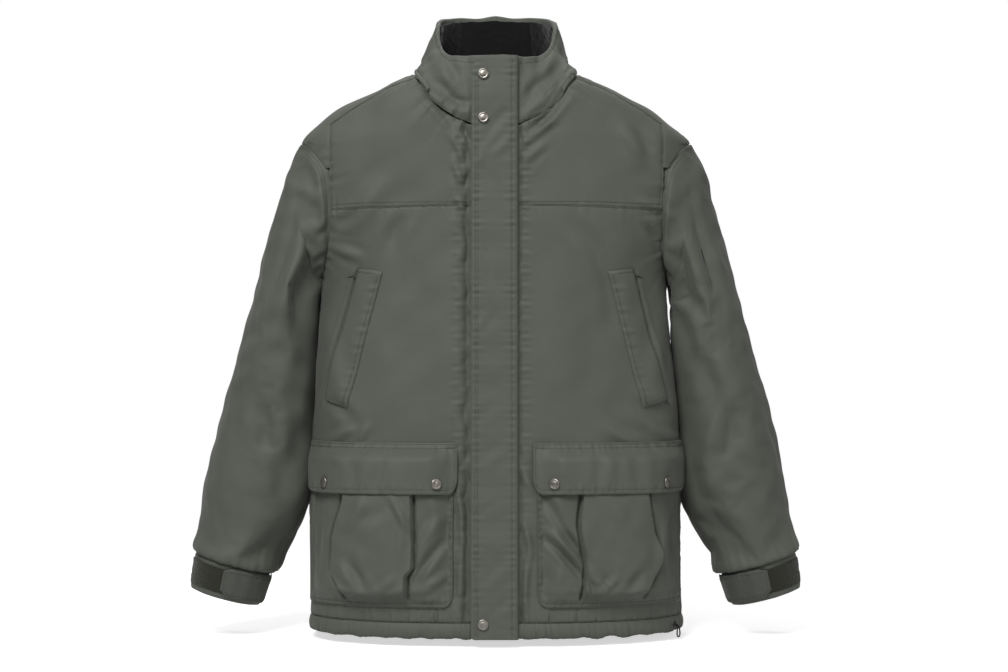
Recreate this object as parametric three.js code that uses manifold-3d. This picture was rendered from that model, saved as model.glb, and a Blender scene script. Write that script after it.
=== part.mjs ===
// A padded country jacket with a stand collar, a snapped storm flap over its zip, two bellows pockets,
// two slanted hand-warmer pockets and hook-and-loop cuffs, hanging as if worn.
// Millimetres, +Z up, front towards -Y, +X towards the wearer's left.
// Heights are measured from the hem's lower edge; the whole jacket is then lowered so that
// the origin is the centre of the neck opening, level with the side of the collar's base.

import * as THREE from 'three';
import { mergeVertices } from 'three/addons/utils/BufferGeometryUtils.js';
import Module from 'manifold-3d';

const wasm = await Module();
wasm.setup();

// ---------------------------------------------------------------- driving dimensions

// body, hem to the side of the neck, and its half widths
const bodyLength = 795;
const bodyHalfWidth = 268;
const armpitTuck = 20.5;
const shoulderSpread = 14;
const neckHalfWidth = 113;
const straightHem = 182;
const armholeDrop = 292;
const shoulderDrop = 98;
const yokeDrop = 195;
const sectionPower = 2.5;

// body, depth in front of and behind its middle
const frontDepthHem = 150;
const frontDepthTop = 90;
const backDepthHem = 140;
const backDepthArmpit = 135;
const backDepthShoulder = 105;
const backDepthNeck = 88;

// cloth and the gap left between pieces that touch
const shellThickness = 2;
const liningThickness = 4;
const gap = 0.4;
const armholeGap = 0.6;
const layerGap = 1.2;
const collarPadding = 2.5 * layerGap;
const bagGap = 2 * layerGap;

// collar
const frontNeckDrop = 89;
const collarTopHalfWidth = 87;
const collarTopFront = 90;
const collarTopBack = 83;
const collarFrontRise = 19;
const collarSideRise = 77;
const collarBackRise = 97;
const stowWeltWidth = 7;
const stowWeltLift = 1.5 * layerGap;
const collarBase = 0.014;

// front opening: zip, storm flap and their snaps
const openingHalfWidth = 6.5;
const teethWidth = 3.4;
const teethThickness = 5;
const teethSplit = 0.8;
const tapeWidth = 13.5;
const tapeThickness = 0.9;
const tapeDrop = 1.1;
const zipSideGap = 0.3;
const sliderLength = 14;
const sliderHalfWidth = 6;
const sliderPlate = 1.4;
const lugHeight = 2.9;
const lugLength = 4;
const lugHalfWidth = 1.2;
const pullerLength = 27;
const pullerWidth = 9;
const pullerThickness = 1.6;
const zipBoxLength = 19;
const stormFlapRight = -33.6;
const stormFlapLeft = 31.2;
const stormFlapThickness = 3;
const stormFlapLift = 6;
const stormFlapCorner = 26;
const stormFlapFoot = 6;
const bindingWidth = 7;
const stormSnapInset = 16.6;
const stormSnapHeights = [21, bodyLength - 69, bodyLength - 7];

// snaps
const snapCapRadius = 7.8;
const snapCapHeight = 2.2;
const snapStudRadius = 4.6;

// hem
const hemBandHeight = 22;
const hemWall = 1.8;
const hemChannel = 4.4;
const hemCordRadius = 1.3;
const hemCordRise = 5;
const hemCordSides = 5;

// bellows pockets and their flaps
const pocketInnerX = 58;
const pocketOuterAngle = 81;
const pocketBottom = 42;
const pocketMouth = 245;
const pocketRise = 15;
const pocketCorner = 25;
const pocketReach = 300;
const pocketInnerSlope = 12;
const pocketOuterSlope = 16;
const pocketBottomSlope = 26;
const flapInnerX = 52.5;
const flapOuterAngle = 84;
const flapBottom = 199;
const flapTop = 271;
const flapCorner = 25;
const flapThickness = 2.4;
const flapClearance = 3;
const flapDrop = 30;
const seamClearance = 1.4;
const pocketSnapInset = 28;
const pocketSideSnapInset = 39;
const pocketSnapRise = 15;

// hand-warmer pockets, placed from the neck
const weltTopDrop = 282;
const weltBottomDrop = 471;
const weltTopX = 158;
const weltBottomX = 207;
const weltWidth = 36;
const weltThickness = 3;
const weltBottomSlant = 12;
const weltTopSlant = 4.2;
const bagThickness = 2;
const bagDepth = 95;
const bagLap = 4;
const bagFoot = 20;
const bagHead = 6;

// sleeves and cuffs
const sleeveGap = 3;
const sleeveLining = 3;
const cuffWall = 3;

// cuff fastening
const patchThickness = 1.2;
const hookThickness = 1;
const tabThickness = 2;
const tabFrom = 86;
const tabTo = 181;
const patchFrom = 14;
const patchTo = 112;
const patchSpan = [0.12, 0.82];
const hookSpan = [0.14, 0.8];
const tabSpan = [0.04, 0.9];
const tabBlunt = 0.16;

// draw cord at the hem
const cordDiameter = 2;
const eyeletOuter = 5.5;
const eyeletInner = 3.6;
const eyeletHeight = 1.6;
const eyeletLevel = 11;
const eyeletColumn = 9;

// ---------------------------------------------------------------- materials

function cloth(color, roughness) {
  return new THREE.MeshStandardMaterial({ color, roughness, metalness: 0 });
}

const shellCloth = cloth(0x60635b, 0.7);
const trimCloth = cloth(0x54564f, 0.75);
const liningCloth = cloth(0x141416, 0.95);
const tapeCloth = cloth(0x2b2c28, 0.85);
const hookCloth = cloth(0x2a2b23, 0.95);
const cordCloth = cloth(0x161614, 0.85);
const zipPlastic = new THREE.MeshStandardMaterial({ color: 0x2f302c, roughness: 0.5, metalness: 0 });
const snapMetal = new THREE.MeshStandardMaterial({ color: 0xa7a49c, roughness: 0.35, metalness: 1 });

// ---------------------------------------------------------------- solids

const jacket = new THREE.Group();
const garment = new THREE.Group();
garment.position.z = -bodyLength;
jacket.add(garment);

function addPiece(name, geometry, material, parent = garment) {
  const mesh = new THREE.Mesh(geometry, material);
  mesh.name = name;
  parent.add(mesh);
  return mesh;
}

function signedVolume(positions, triangles) {
  const [a, b, c] = [new THREE.Vector3(), new THREE.Vector3(), new THREE.Vector3()];
  let volume = 0;
  for (let i = 0; i < triangles.length; i += 3) {
    a.fromArray(positions, triangles[i] * 3);
    b.fromArray(positions, triangles[i + 1] * 3);
    c.fromArray(positions, triangles[i + 2] * 3);
    volume += a.dot(b.cross(c)) / 6;
  }
  return volume;
}

// a closed geometry from points and triangles, turned so that its faces point out
function closedGeometry(points, triangles) {
  const positions = points.flatMap((point) => point.toArray());
  if (signedVolume(positions, triangles) < 0) {
    triangles.reverse();
  }
  const geometry = new THREE.BufferGeometry();
  geometry.setAttribute('position', new THREE.Float32BufferAttribute(positions, 3));
  geometry.setIndex(triangles);
  return geometry;
}

// loops of equal length joined one to the next, with flat ends unless the sweep closes on itself;
// a folded loop runs up one face and back down the other, and both faces then share their diagonals
function sweepLoops(loops, endCap, { closed = false, folded = false } = {}) {
  const size = loops[0].length;
  const points = loops.flat();
  const triangles = [];
  const last = closed ? loops.length : loops.length - 1;
  for (let i = 0; i < last; i++) {
    const here = i * size;
    const there = ((i + 1) % loops.length) * size;
    for (let j = 0; j < size; j++) {
      const k = (j + 1) % size;
      if (folded && j >= size / 2) {
        triangles.push(here + j, there + j, here + k);
        triangles.push(there + j, there + k, here + k);
      } else {
        triangles.push(here + j, there + j, there + k);
        triangles.push(here + j, there + k, here + k);
      }
    }
  }
  if (!closed) {
    const end = (loops.length - 1) * size;
    for (const [a, b, c] of endCap) {
      triangles.push(a, b, c);
      triangles.push(end + a, end + c, end + b);
    }
  }
  return closedGeometry(points, triangles);
}

function capTriangles(section) {
  const outline = section.map(([x, y]) => new THREE.Vector2(x, y));
  const faces = THREE.ShapeUtils.triangulateShape(outline, []);
  return THREE.ShapeUtils.isClockWise(outline) ? faces.map(([a, b, c]) => [a, c, b]) : faces;
}

function toManifold(geometry) {
  const bare = geometry.clone();
  bare.deleteAttribute('normal');
  bare.deleteAttribute('uv');
  const merged = mergeVertices(bare, 1e-4);
  const vertProperties = new Float32Array(merged.attributes.position.array);
  const triVerts = new Uint32Array(merged.index.array);
  return new wasm.Manifold(new wasm.Mesh({ numProp: 3, vertProperties, triVerts }));
}

function cutFrom(geometry, cutters) {
  let solid = toManifold(geometry);
  for (const cutter of cutters) {
    solid = solid.subtract(toManifold(cutter));
  }
  const mesh = solid.getMesh();
  const cut = new THREE.BufferGeometry();
  cut.setAttribute('position', new THREE.BufferAttribute(mesh.vertProperties, 3));
  cut.setIndex(new THREE.BufferAttribute(mesh.triVerts, 1));
  return cut;
}

// ---------------------------------------------------------------- curves and small sums

const radians = Math.PI / 180;

function mix(a, b, t) {
  return a + (b - a) * t;
}

function ease(t) {
  const clamped = Math.min(Math.max(t, 0), 1);
  return clamped * clamped * (3 - 2 * clamped);
}

// a smooth curve through [place, value] pairs, held straight beyond its ends
function through(knots) {
  const slopes = knots.map((knot, i) => {
    const before = knots[Math.max(i - 1, 0)];
    const after = knots[Math.min(i + 1, knots.length - 1)];
    const left = i > 0 ? (knot[1] - before[1]) / (knot[0] - before[0]) : null;
    const right = i < knots.length - 1 ? (after[1] - knot[1]) / (after[0] - knot[0]) : null;
    if (left === null || right === null) {
      return left ?? right;
    }
    return left * right <= 0 ? 0 : (2 * left * right) / (left + right);
  });
  return (place) => {
    const end = knots.length - 1;
    if (place <= knots[0][0]) {
      return knots[0][1] + slopes[0] * (place - knots[0][0]);
    }
    if (place >= knots[end][0]) {
      return knots[end][1] + slopes[end] * (place - knots[end][0]);
    }
    const i = knots.findIndex((knot) => knot[0] > place) - 1;
    const span = knots[i + 1][0] - knots[i][0];
    const t = (place - knots[i][0]) / span;
    const start = knots[i][1] * (1 + 2 * t) * (1 - t) ** 2 + slopes[i] * span * t * (1 - t) ** 2;
    const finish = knots[i + 1][1] * t * t * (3 - 2 * t) - slopes[i + 1] * span * t * t * (1 - t);
    return start + finish;
  };
}

// ---------------------------------------------------------------- body surface

const armpitHalfWidth = bodyHalfWidth - armpitTuck;
const shoulderHalfWidth = bodyHalfWidth + shoulderSpread;
const armpitHeight = bodyLength - armholeDrop;
const shoulderHeight = bodyLength - shoulderDrop;
const placketTop = bodyLength + collarFrontRise + 1;

const halfWidthAt = through([
  [0, bodyHalfWidth],
  [straightHem, bodyHalfWidth - 0.5],
  [armpitHeight - 143, bodyHalfWidth - 8],
  [armpitHeight - 10, armpitHalfWidth],
  [armpitHeight, armpitHalfWidth + 0.3],
  [armpitHeight + 57, shoulderHalfWidth - 16],
  [armpitHeight + 97, shoulderHalfWidth + 3],
  [shoulderHeight - 37, shoulderHalfWidth + 5],
  [shoulderHeight, shoulderHalfWidth],
  [shoulderHeight + 30, shoulderHalfWidth - 29],
  [shoulderHeight + 55, shoulderHalfWidth - 62],
  [shoulderHeight + 78, neckHalfWidth + 59],
  [shoulderHeight + 90, neckHalfWidth + 24],
  [bodyLength, neckHalfWidth],
  [bodyLength + 10, neckHalfWidth - 24],
]);

const backDepthAt = through([
  [0, backDepthHem],
  [armpitHeight, backDepthArmpit],
  [shoulderHeight, backDepthShoulder],
  [bodyLength, backDepthNeck],
  [bodyLength + 10, backDepthNeck - 3],
]);

function frontDepthAt(height) {
  return mix(frontDepthHem, frontDepthTop, height / placketTop);
}

// the body's outside: angle 0 is the middle of the front, 90 the wearer's left side, 180 the back
function bodyOutside(angle, height) {
  const side = Math.sin(angle * radians);
  const ahead = Math.cos(angle * radians);
  const depth = ahead > 0 ? frontDepthAt(height) : backDepthAt(height);
  const across = Math.abs(side / halfWidthAt(height)) ** sectionPower;
  const along = Math.abs(ahead / depth) ** sectionPower;
  const radius = (across + along) ** (-1 / sectionPower);
  return new THREE.Vector3(radius * side, -radius * ahead, height);
}

// a point and outward normal of any surface given by two values
function frameOn(surface, a, b) {
  const step = 0.05;
  const alongA = surface(a + step, b).sub(surface(a - step, b));
  const alongB = surface(a, b + step).sub(surface(a, b - step));
  return { point: surface(a, b), normal: alongA.cross(alongB).normalize() };
}

function offsetFrom(surface) {
  return (a, b, offset) => {
    const { point, normal } = frameOn(surface, a, b);
    return point.addScaledVector(normal, offset);
  };
}

const bodyPoint = offsetFrom(bodyOutside);

// the angle at which the front reaches a distance x from the middle
function angleAtX(x, height) {
  const reach = Math.min(Math.abs(x) / halfWidthAt(height), 0.9999);
  const y = frontDepthAt(height) * (1 - reach ** sectionPower) ** (1 / sectionPower);
  return Math.atan2(Math.abs(x), y) / radians;
}

// the seam where the collar joins the body, as a height for each angle
const neckRiseAt = through([
  [0, 0],
  [30, 0.24],
  [45, 0.52],
  [52, 0.76],
  [59, 0.885],
  [71, 0.975],
  [90, 1],
]);

function neckSeamAt(angle) {
  const turned = angle > 180 ? 360 - angle : angle;
  if (turned <= 90) {
    return bodyLength - frontNeckDrop * (1 - neckRiseAt(turned));
  }
  return bodyLength + 5 * Math.cos(turned * radians) ** 2;
}

// the seam between front and back on the shoulder, a little in front of the ridge
const shoulderSeamAt = through([
  [shoulderHeight, 81],
  [shoulderHeight + 26, 78],
  [shoulderHeight + 69, 71.4],
  [shoulderHeight + 85, 62],
  [bodyLength, 56],
]);

function shoulderSeam(height) {
  return shoulderSeamAt(Math.max(height, shoulderHeight));
}

function neckEdgeAt(angle) {
  return neckSeamAt(angle) - gap;
}

function yokeSeamAt(angle) {
  const middle = Math.sin(Math.min(angle, 180) * radians);
  return bodyLength - yokeDrop + 3 - 6 * middle ** 6;
}

// the armhole seam, seen from the front: how far out it runs at each height
const armholeAt = through([
  [armpitHeight, halfWidthAt(armpitHeight)],
  [armpitHeight + 42, armpitHalfWidth - 8.5],
  [armpitHeight + 97, shoulderHalfWidth - 45],
  [shoulderHeight - 47, shoulderHalfWidth - 41],
  [shoulderHeight - 15, shoulderHalfWidth - 20],
  [shoulderHeight, shoulderHalfWidth],
]);

const sleeveColumns = 18;

// the armhole seam's height at a turn of the sleeve: 0 at the shoulder tip, 180 at the armpit
function armholeHeight(turn) {
  return mix(armpitHeight, shoulderHeight, 0.5 + 0.5 * Math.cos(turn * radians));
}

// a prism that takes away everything beyond the armhole seam, on one side of the body
function armholeCutter(side) {
  const outline = [];
  for (let i = sleeveColumns / 2; i >= 0; i--) {
    const height = armholeHeight((i * 360) / sleeveColumns);
    outline.push(new THREE.Vector2(side * (armholeAt(height) - armholeGap), height));
  }
  const beyond = 100;
  const outside = shoulderHalfWidth + beyond;
  outline.push(new THREE.Vector2(side * outside, shoulderHeight + 3));
  outline.push(new THREE.Vector2(side * outside, armpitHeight));
  const depth = frontDepthHem + backDepthHem + beyond;
  const prism = new THREE.ExtrudeGeometry(new THREE.Shape(outline), { depth, bevelEnabled: false });
  prism.rotateX(Math.PI / 2);
  prism.translate(0, depth / 2, 0);
  return prism;
}

const armholes = [armholeCutter(1), armholeCutter(-1)];

// ---------------------------------------------------------------- cloth panels

// A panel is swept from its first edge to its last. At each step across, rows run up its outer face
// and back down its inner face. edges gives the angle limits at a height, ends the height limits.
// With a knee, two thirds of the rows lie below that height and one row lies on it.
function panel({ edges, ends, outer, inner, columns, rows, knee, point = bodyPoint }) {
  const loops = [];
  const kneeRow = Math.round((rows * 2) / 3);
  for (let i = 0; i <= columns; i++) {
    const across = i / columns;
    const [low, high] = ends(across);
    const heights = [];
    for (let j = 0; j <= rows; j++) {
      if (knee === undefined) {
        heights.push(mix(low, high, j / rows));
      } else if (j <= kneeRow) {
        heights.push(mix(low, knee, j / kneeRow));
      } else {
        heights.push(mix(knee, high, (j - kneeRow) / (rows - kneeRow)));
      }
    }
    const angleAt = (height) => mix(...edges(height), across);
    const outside = heights.map((height) => point(angleAt(height), height, outer(angleAt(height), height)));
    const inside = heights.map((height) => point(angleAt(height), height, inner(angleAt(height), height)));
    loops.push([...outside, ...inside.reverse()]);
  }
  const cap = [];
  const size = 2 * (rows + 1);
  for (let j = 0; j < rows; j++) {
    cap.push([j, j + 1, size - 1 - j]);
    cap.push([j + 1, size - 2 - j, size - 1 - j]);
  }
  return sweepLoops(loops, cap, { folded: true });
}

function constant(value) {
  return () => value;
}

// the height at which a column of a panel meets a seam that changes with angle
function meetSeam(edges, seam, across, low, high) {
  let [below, above] = [low, high];
  for (let i = 0; i < 40; i++) {
    const middle = (below + above) / 2;
    const angle = mix(...edges(middle), across);
    if (middle < seam(angle)) {
      below = middle;
    } else {
      above = middle;
    }
  }
  return below;
}

function mirrored(geometry) {
  const copy = geometry.clone();
  copy.scale(-1, 1, 1);
  copy.setIndex([...copy.index.array].reverse());
  return copy;
}

// adds a piece made for the wearer's left and its mirror image for the right
function addPair(name, geometry, material, parent = garment) {
  addPiece(`${name}_left`, geometry, material, parent);
  addPiece(`${name}_right`, mirrored(geometry), material, parent);
}

function openingEdge(height) {
  return angleAtX(openingHalfWidth, height);
}

const sideSeam = 90;
const seamAngle = gap / bodyHalfWidth / radians / 2;

function buildShell() {
  const face = { outer: constant(0), inner: constant(-shellThickness) };
  const knee = armpitHeight;

  const frontEdges = (height) => [openingEdge(height), sideSeam - seamAngle];
  const frontEnds = (across) => {
    const angle = mix(...frontEdges(armpitHeight), across);
    return [hemBandHeight + gap, yokeSeamAt(angle) - gap / 2];
  };
  const front = panel({ ...face, edges: frontEdges, ends: frontEnds, columns: 12, rows: 9, knee });
  addPair('front_panel', cutFrom(front, armholes), shellCloth);

  const yokeEdges = (height) => [openingEdge(height), shoulderSeam(height) - seamAngle];
  const yokeEnds = (across) => {
    const angle = mix(...yokeEdges(armpitHeight), across);
    const top = meetSeam(yokeEdges, neckEdgeAt, across, shoulderHeight - 50, placketTop);
    return [yokeSeamAt(angle) + gap / 2, top];
  };
  const yoke = panel({ ...face, edges: yokeEdges, ends: yokeEnds, columns: 11, rows: 6 });
  addPair('front_yoke', cutFrom(yoke, armholes), shellCloth);

  const backEdges = () => [sideSeam + seamAngle, 360 - sideSeam - seamAngle];
  const backEnds = constant([hemBandHeight + gap, bodyLength - yokeDrop - gap / 2]);
  const back = panel({ ...face, edges: backEdges, ends: backEnds, columns: 22, rows: 9, knee });
  addPiece('back_panel', cutFrom(back, armholes), shellCloth);

  const overEdges = (height) => [shoulderSeam(height) + seamAngle, 360 - shoulderSeam(height) - seamAngle];
  const overEnds = (across) => {
    const top = meetSeam(overEdges, neckEdgeAt, across, shoulderHeight, bodyLength + 10);
    return [bodyLength - yokeDrop + gap / 2, top];
  };
  const over = panel({ ...face, edges: overEdges, ends: overEnds, columns: 26, rows: 6 });
  addPiece('back_yoke', cutFrom(over, armholes), shellCloth);
}

// ---------------------------------------------------------------- collar

const collarRiseAt = through([
  [0, collarFrontRise],
  [40, collarFrontRise + 2],
  [62, mix(collarFrontRise, collarSideRise, 0.42)],
  [90, collarSideRise],
  [130, mix(collarSideRise, collarBackRise, 0.75)],
  [180, collarBackRise],
]);

// the collar's outside: angle round the neck, and 0 at its base to 1 at its top edge
function collarOutside(angle, climb) {
  const turned = angle > 180 ? 360 - angle : angle;
  const base = bodyOutside(angle, neckSeamAt(angle));
  const side = Math.sin(angle * radians);
  const ahead = Math.cos(angle * radians);
  const depth = ahead > 0 ? collarTopFront : collarTopBack;
  const across = Math.abs(side / collarTopHalfWidth) ** sectionPower;
  const along = Math.abs(ahead / depth) ** sectionPower;
  const radius = (across + along) ** (-1 / sectionPower);
  const top = new THREE.Vector3(radius * side, -radius * ahead, bodyLength + collarRiseAt(turned));
  return base.lerp(top, climb);
}

const collarPoint = offsetFrom(collarOutside);

function collarOpening(halfWidth) {
  return Math.atan2(halfWidth, collarTopFront) / radians;
}

function buildCollar() {
  const wrap = (halfWidth) => constant([collarOpening(halfWidth), 360 - collarOpening(halfWidth)]);
  const layout = { columns: 36, rows: 3, point: collarPoint };
  const liningFace = -shellThickness - collarPadding;

  const outerFace = { outer: constant(0), inner: constant(-shellThickness) };
  const outerEnds = constant([collarBase, 1]);
  const outer = panel({ ...layout, ...outerFace, edges: wrap(openingHalfWidth), ends: outerEnds });
  addPiece('collar_outer', outer, shellCloth);

  const innerFace = { outer: constant(liningFace), inner: constant(liningFace - liningThickness) };
  const inner = panel({ ...layout, ...innerFace, edges: wrap(zipReach + 1), ends: constant([0.02, 0.985]) });
  addPiece('collar_lining', inner, liningCloth);

  // the narrow covered opening round the collar's base
  const weltFace = { outer: constant(stowWeltLift + shellThickness), inner: constant(stowWeltLift) };
  const weltFoot = 0.03;
  const weltEnds = constant([weltFoot, weltFoot + stowWeltWidth / collarSideRise]);
  const weltEdges = constant([48, 312]);
  const welt = panel({ ...layout, ...weltFace, edges: weltEdges, ends: weltEnds, rows: 1 });
  addPiece('collar_stow_welt', welt, trimCloth);
}

function buildHangerLoop() {
  const halfSpan = 30;
  const sag = 16;
  const level = bodyLength + 30;
  const ribbonHalfWidth = 3.5;
  const ribbonHalfThickness = 0.7;
  const reach = 9;
  const clearance = 8;
  const inside = backDepthNeck - shellThickness - collarPadding - liningThickness - clearance;
  const points = [];
  for (let i = 0; i <= 8; i++) {
    const t = i / 4 - 1;
    const fall = 1 - t * t;
    points.push(new THREE.Vector3(halfSpan * t, inside - reach * fall, level - sag * fall));
  }
  const ribbon = new THREE.Shape();
  ribbon.moveTo(-ribbonHalfWidth, -ribbonHalfThickness);
  ribbon.lineTo(ribbonHalfWidth, -ribbonHalfThickness);
  ribbon.lineTo(ribbonHalfWidth, ribbonHalfThickness);
  ribbon.lineTo(-ribbonHalfWidth, ribbonHalfThickness);
  ribbon.closePath();
  const path = new THREE.CatmullRomCurve3(points);
  addPiece('hanger_loop', new THREE.ExtrudeGeometry(ribbon, { steps: 10, extrudePath: path }), tapeCloth);
}

// ---------------------------------------------------------------- lining

const liningOutside = -(shellThickness + 3 * layerGap + bagThickness);
const zipReach = teethSplit + teethWidth + zipSideGap + tapeWidth;

function buildLining() {
  const edges = (height) => {
    const start = angleAtX(zipReach + 1, height);
    return [start, 360 - start];
  };
  const neck = (angle) => neckSeamAt(angle) - liningThickness;
  const ends = (across) => {
    const top = meetSeam(edges, neck, across, armpitHeight, bodyLength + 10);
    return [hemBandHeight + gap, top];
  };
  const outer = constant(liningOutside);
  const inner = constant(liningOutside - liningThickness);
  const lining = panel({ edges, ends, outer, inner, columns: 44, rows: 9, knee: armpitHeight });
  addPiece('body_lining', cutFrom(lining, armholes), liningCloth);
}

// ---------------------------------------------------------------- hem

const hemColumns = 44;

function hemAngle(column) {
  const start = angleAtX(openingHalfWidth, 0);
  return mix(start, 360 - start, column / hemColumns);
}

function buildHem() {
  const inside = -(2 * hemWall + hemChannel);
  const section = [
    [0, 0],
    [hemBandHeight, 0],
    [hemBandHeight, -hemWall],
    [hemWall, -hemWall],
    [hemWall, -hemWall - hemChannel],
    [hemBandHeight, -hemWall - hemChannel],
    [hemBandHeight, inside],
    [0, inside],
  ];
  const loops = [];
  for (let i = 0; i <= hemColumns; i++) {
    const angle = hemAngle(i);
    loops.push(section.map(([height, offset]) => bodyPoint(angle, height, offset)));
  }
  addPiece('hem_band', sweepLoops(loops, capTriangles(section)), shellCloth);

  const cordLoops = [];
  const cordLevel = hemWall + hemCordRadius + hemCordRise;
  const cordSection = [];
  for (let j = 0; j < hemCordSides; j++) {
    const turn = (j / hemCordSides) * 2 * Math.PI;
    const rise = hemCordRadius * Math.cos(turn);
    cordSection.push([cordLevel + rise, hemCordRadius * Math.sin(turn) - hemWall - hemChannel / 2]);
  }
  for (let i = 1; i < hemColumns; i++) {
    const angle = hemAngle(i);
    cordLoops.push(cordSection.map(([height, offset]) => bodyPoint(angle, height, offset)));
  }
  addPiece('hem_cord', sweepLoops(cordLoops, capTriangles(cordSection)), cordCloth);
}

// ---------------------------------------------------------------- front opening

// The middle of the front leans back as a straight line, so the zip and the storm flap are flat.
// This group's X is across, its Y runs up that line from the hem, and its Z points out.
const opening = new THREE.Group();
const lean = Math.atan2(frontDepthHem - frontDepthTop, placketTop);
opening.position.set(0, -frontDepthHem, 0);
opening.rotation.x = Math.PI / 2 - lean;
garment.add(opening);

function upTheFront(height) {
  return height / Math.cos(lean);
}

function block(x, y, z) {
  const geometry = new THREE.BoxGeometry(x[1] - x[0], y[1] - y[0], z[1] - z[0]);
  return geometry.translate((x[0] + x[1]) / 2, (y[0] + y[1]) / 2, (z[0] + z[1]) / 2);
}

const zipTop = upTheFront(placketTop - 6);
const zipBottom = upTheFront(zipBoxLength + 6);
const sliderTop = zipTop - 4;

function buildZip() {
  const toothZ = [-gap - teethThickness, -gap];
  const toothX = [teethSplit, teethSplit + teethWidth];
  addPair('zip_teeth', block(toothX, [zipBottom, zipTop], toothZ), zipPlastic, opening);

  const tapeX = [toothX[1] + zipSideGap, zipReach];
  const tapeFace = -shellThickness - tapeDrop;
  const tapeZ = [tapeFace - tapeThickness, tapeFace];
  addPair('zip_tape', block(tapeX, [upTheFront(3), zipTop + 3], tapeZ), tapeCloth, opening);

  const boxHalf = openingHalfWidth - 0.9;
  const box = block([-boxHalf, boxHalf], [zipBottom - zipBoxLength, zipBottom - gap], toothZ);
  const notchX = [toothX[1], zipReach];
  const notchZ = [tapeZ[0] - zipSideGap, tapeZ[1] + zipSideGap];
  const leftNotch = block(notchX, [-10, zipBottom], notchZ);
  const rightNotch = block([-notchX[1], -notchX[0]], [-10, zipBottom], notchZ);
  addPiece('zip_bottom_box', cutFrom(box, [leftNotch, rightNotch]), zipPlastic, opening);
}

// front plate, narrow bridge between the teeth, back plate, and the lug that carries the puller
function buildSlider() {
  const half = sliderHalfWidth;
  const bridge = teethSplit - zipSideGap;
  const backFace = -2 * gap - teethThickness;
  const outline = [
    [-half, 0],
    [-bridge, 0],
    [-bridge, backFace],
    [-half + 1, backFace],
    [-half + 1, backFace - sliderPlate],
    [half - 1, backFace - sliderPlate],
    [half - 1, backFace],
    [bridge, backFace],
    [bridge, 0],
    [half, 0],
    [half, sliderPlate],
    [lugHalfWidth, sliderPlate],
    [lugHalfWidth, sliderPlate + lugHeight],
    [-lugHalfWidth, sliderPlate + lugHeight],
    [-lugHalfWidth, sliderPlate],
    [-half, sliderPlate],
  ];
  const shape = new THREE.Shape(outline.map(([x, z]) => new THREE.Vector2(x, z)));
  const body = new THREE.ExtrudeGeometry(shape, { depth: sliderLength, bevelEnabled: false });
  body.rotateX(Math.PI / 2);
  body.translate(0, sliderTop, 0);
  const clearLug = block([-3, 3], [sliderTop - sliderLength - 1, sliderTop - lugLength], [
    sliderPlate,
    sliderPlate + lugHeight + 1,
  ]);
  addPiece('zip_slider', cutFrom(body, [clearLug]), snapMetal, opening);
}

function buildPuller() {
  const face = sliderPlate + gap;
  const top = sliderTop + 2.4;
  const half = pullerWidth / 2;
  const tag = new THREE.Shape();
  tag.moveTo(-half + 1, top);
  tag.lineTo(-half, top - 6);
  tag.lineTo(-half + 0.8, top - pullerLength + 3);
  tag.lineTo(-half + 3, top - pullerLength);
  tag.lineTo(half - 3, top - pullerLength);
  tag.lineTo(half - 0.8, top - pullerLength + 3);
  tag.lineTo(half, top - 6);
  tag.lineTo(half - 1, top);
  tag.closePath();
  const window = new THREE.Path();
  const windowHalf = lugHalfWidth + 0.7;
  const windowTop = sliderTop + 0.6;
  const windowBottom = sliderTop - lugLength - 1;
  window.moveTo(-windowHalf, windowTop);
  window.lineTo(windowHalf, windowTop);
  window.lineTo(windowHalf, windowBottom);
  window.lineTo(-windowHalf, windowBottom);
  window.closePath();
  tag.holes.push(window);
  const puller = new THREE.ExtrudeGeometry(tag, { depth: pullerThickness, bevelEnabled: false });
  addPiece('zip_puller', puller.translate(0, 0, face), snapMetal, opening);
}

function snapCap() {
  const profile = [
    [0, 0],
    [snapCapRadius, 0],
    [snapCapRadius - 0.3, snapCapHeight - 0.6],
    [snapCapRadius - 1.8, snapCapHeight],
    [0, snapCapHeight - 0.3],
  ];
  const cap = new THREE.LatheGeometry(profile.map(([r, y]) => new THREE.Vector2(r, y)), 14);
  return cap.rotateX(Math.PI / 2);
}

function snapStud(height) {
  const stud = new THREE.CylinderGeometry(snapStudRadius, snapStudRadius, height, 12);
  return stud.rotateX(Math.PI / 2).translate(0, 0, height / 2);
}

function buildStormFlap() {
  const top = upTheFront(placketTop);
  const flap = new THREE.Shape();
  flap.moveTo(stormFlapLeft, 0);
  flap.lineTo(stormFlapLeft, top);
  flap.lineTo(stormFlapRight + stormFlapCorner, top);
  flap.quadraticCurveTo(stormFlapRight, top - 1, stormFlapRight, top - stormFlapCorner);
  flap.lineTo(stormFlapRight, stormFlapFoot);
  flap.quadraticCurveTo(stormFlapRight, 0, stormFlapRight + stormFlapFoot, 0);
  flap.closePath();
  const solid = new THREE.ExtrudeGeometry(flap, {
    depth: stormFlapThickness,
    bevelEnabled: false,
    curveSegments: 6,
  });
  addPiece('storm_flap', solid.translate(0, 0, stormFlapLift), shellCloth, opening);

  const stripX = [stormFlapLeft - bindingWidth, stormFlapLeft];
  const strip = block(stripX, [0, top - 1], [gap, stormFlapLift - gap]);
  addPiece('storm_flap_binding', strip, shellCloth, opening);

  const snapX = stormFlapRight + stormSnapInset;
  const capZ = stormFlapLift + stormFlapThickness + gap;
  const studHeight = stormFlapLift - 2 * gap;
  const places = ['hem', 'upper', 'top'];
  places.forEach((place, i) => {
    const y = upTheFront(stormSnapHeights[i]);
    const cap = snapCap().translate(snapX, y, capZ);
    addPiece(`storm_cap_${place}`, cap, snapMetal, opening);
    const stud = snapStud(studHeight).translate(snapX, y, gap);
    addPiece(`storm_stud_${place}`, stud, snapMetal, opening);
  });
}

// ---------------------------------------------------------------- hand-warmer pockets

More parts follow.
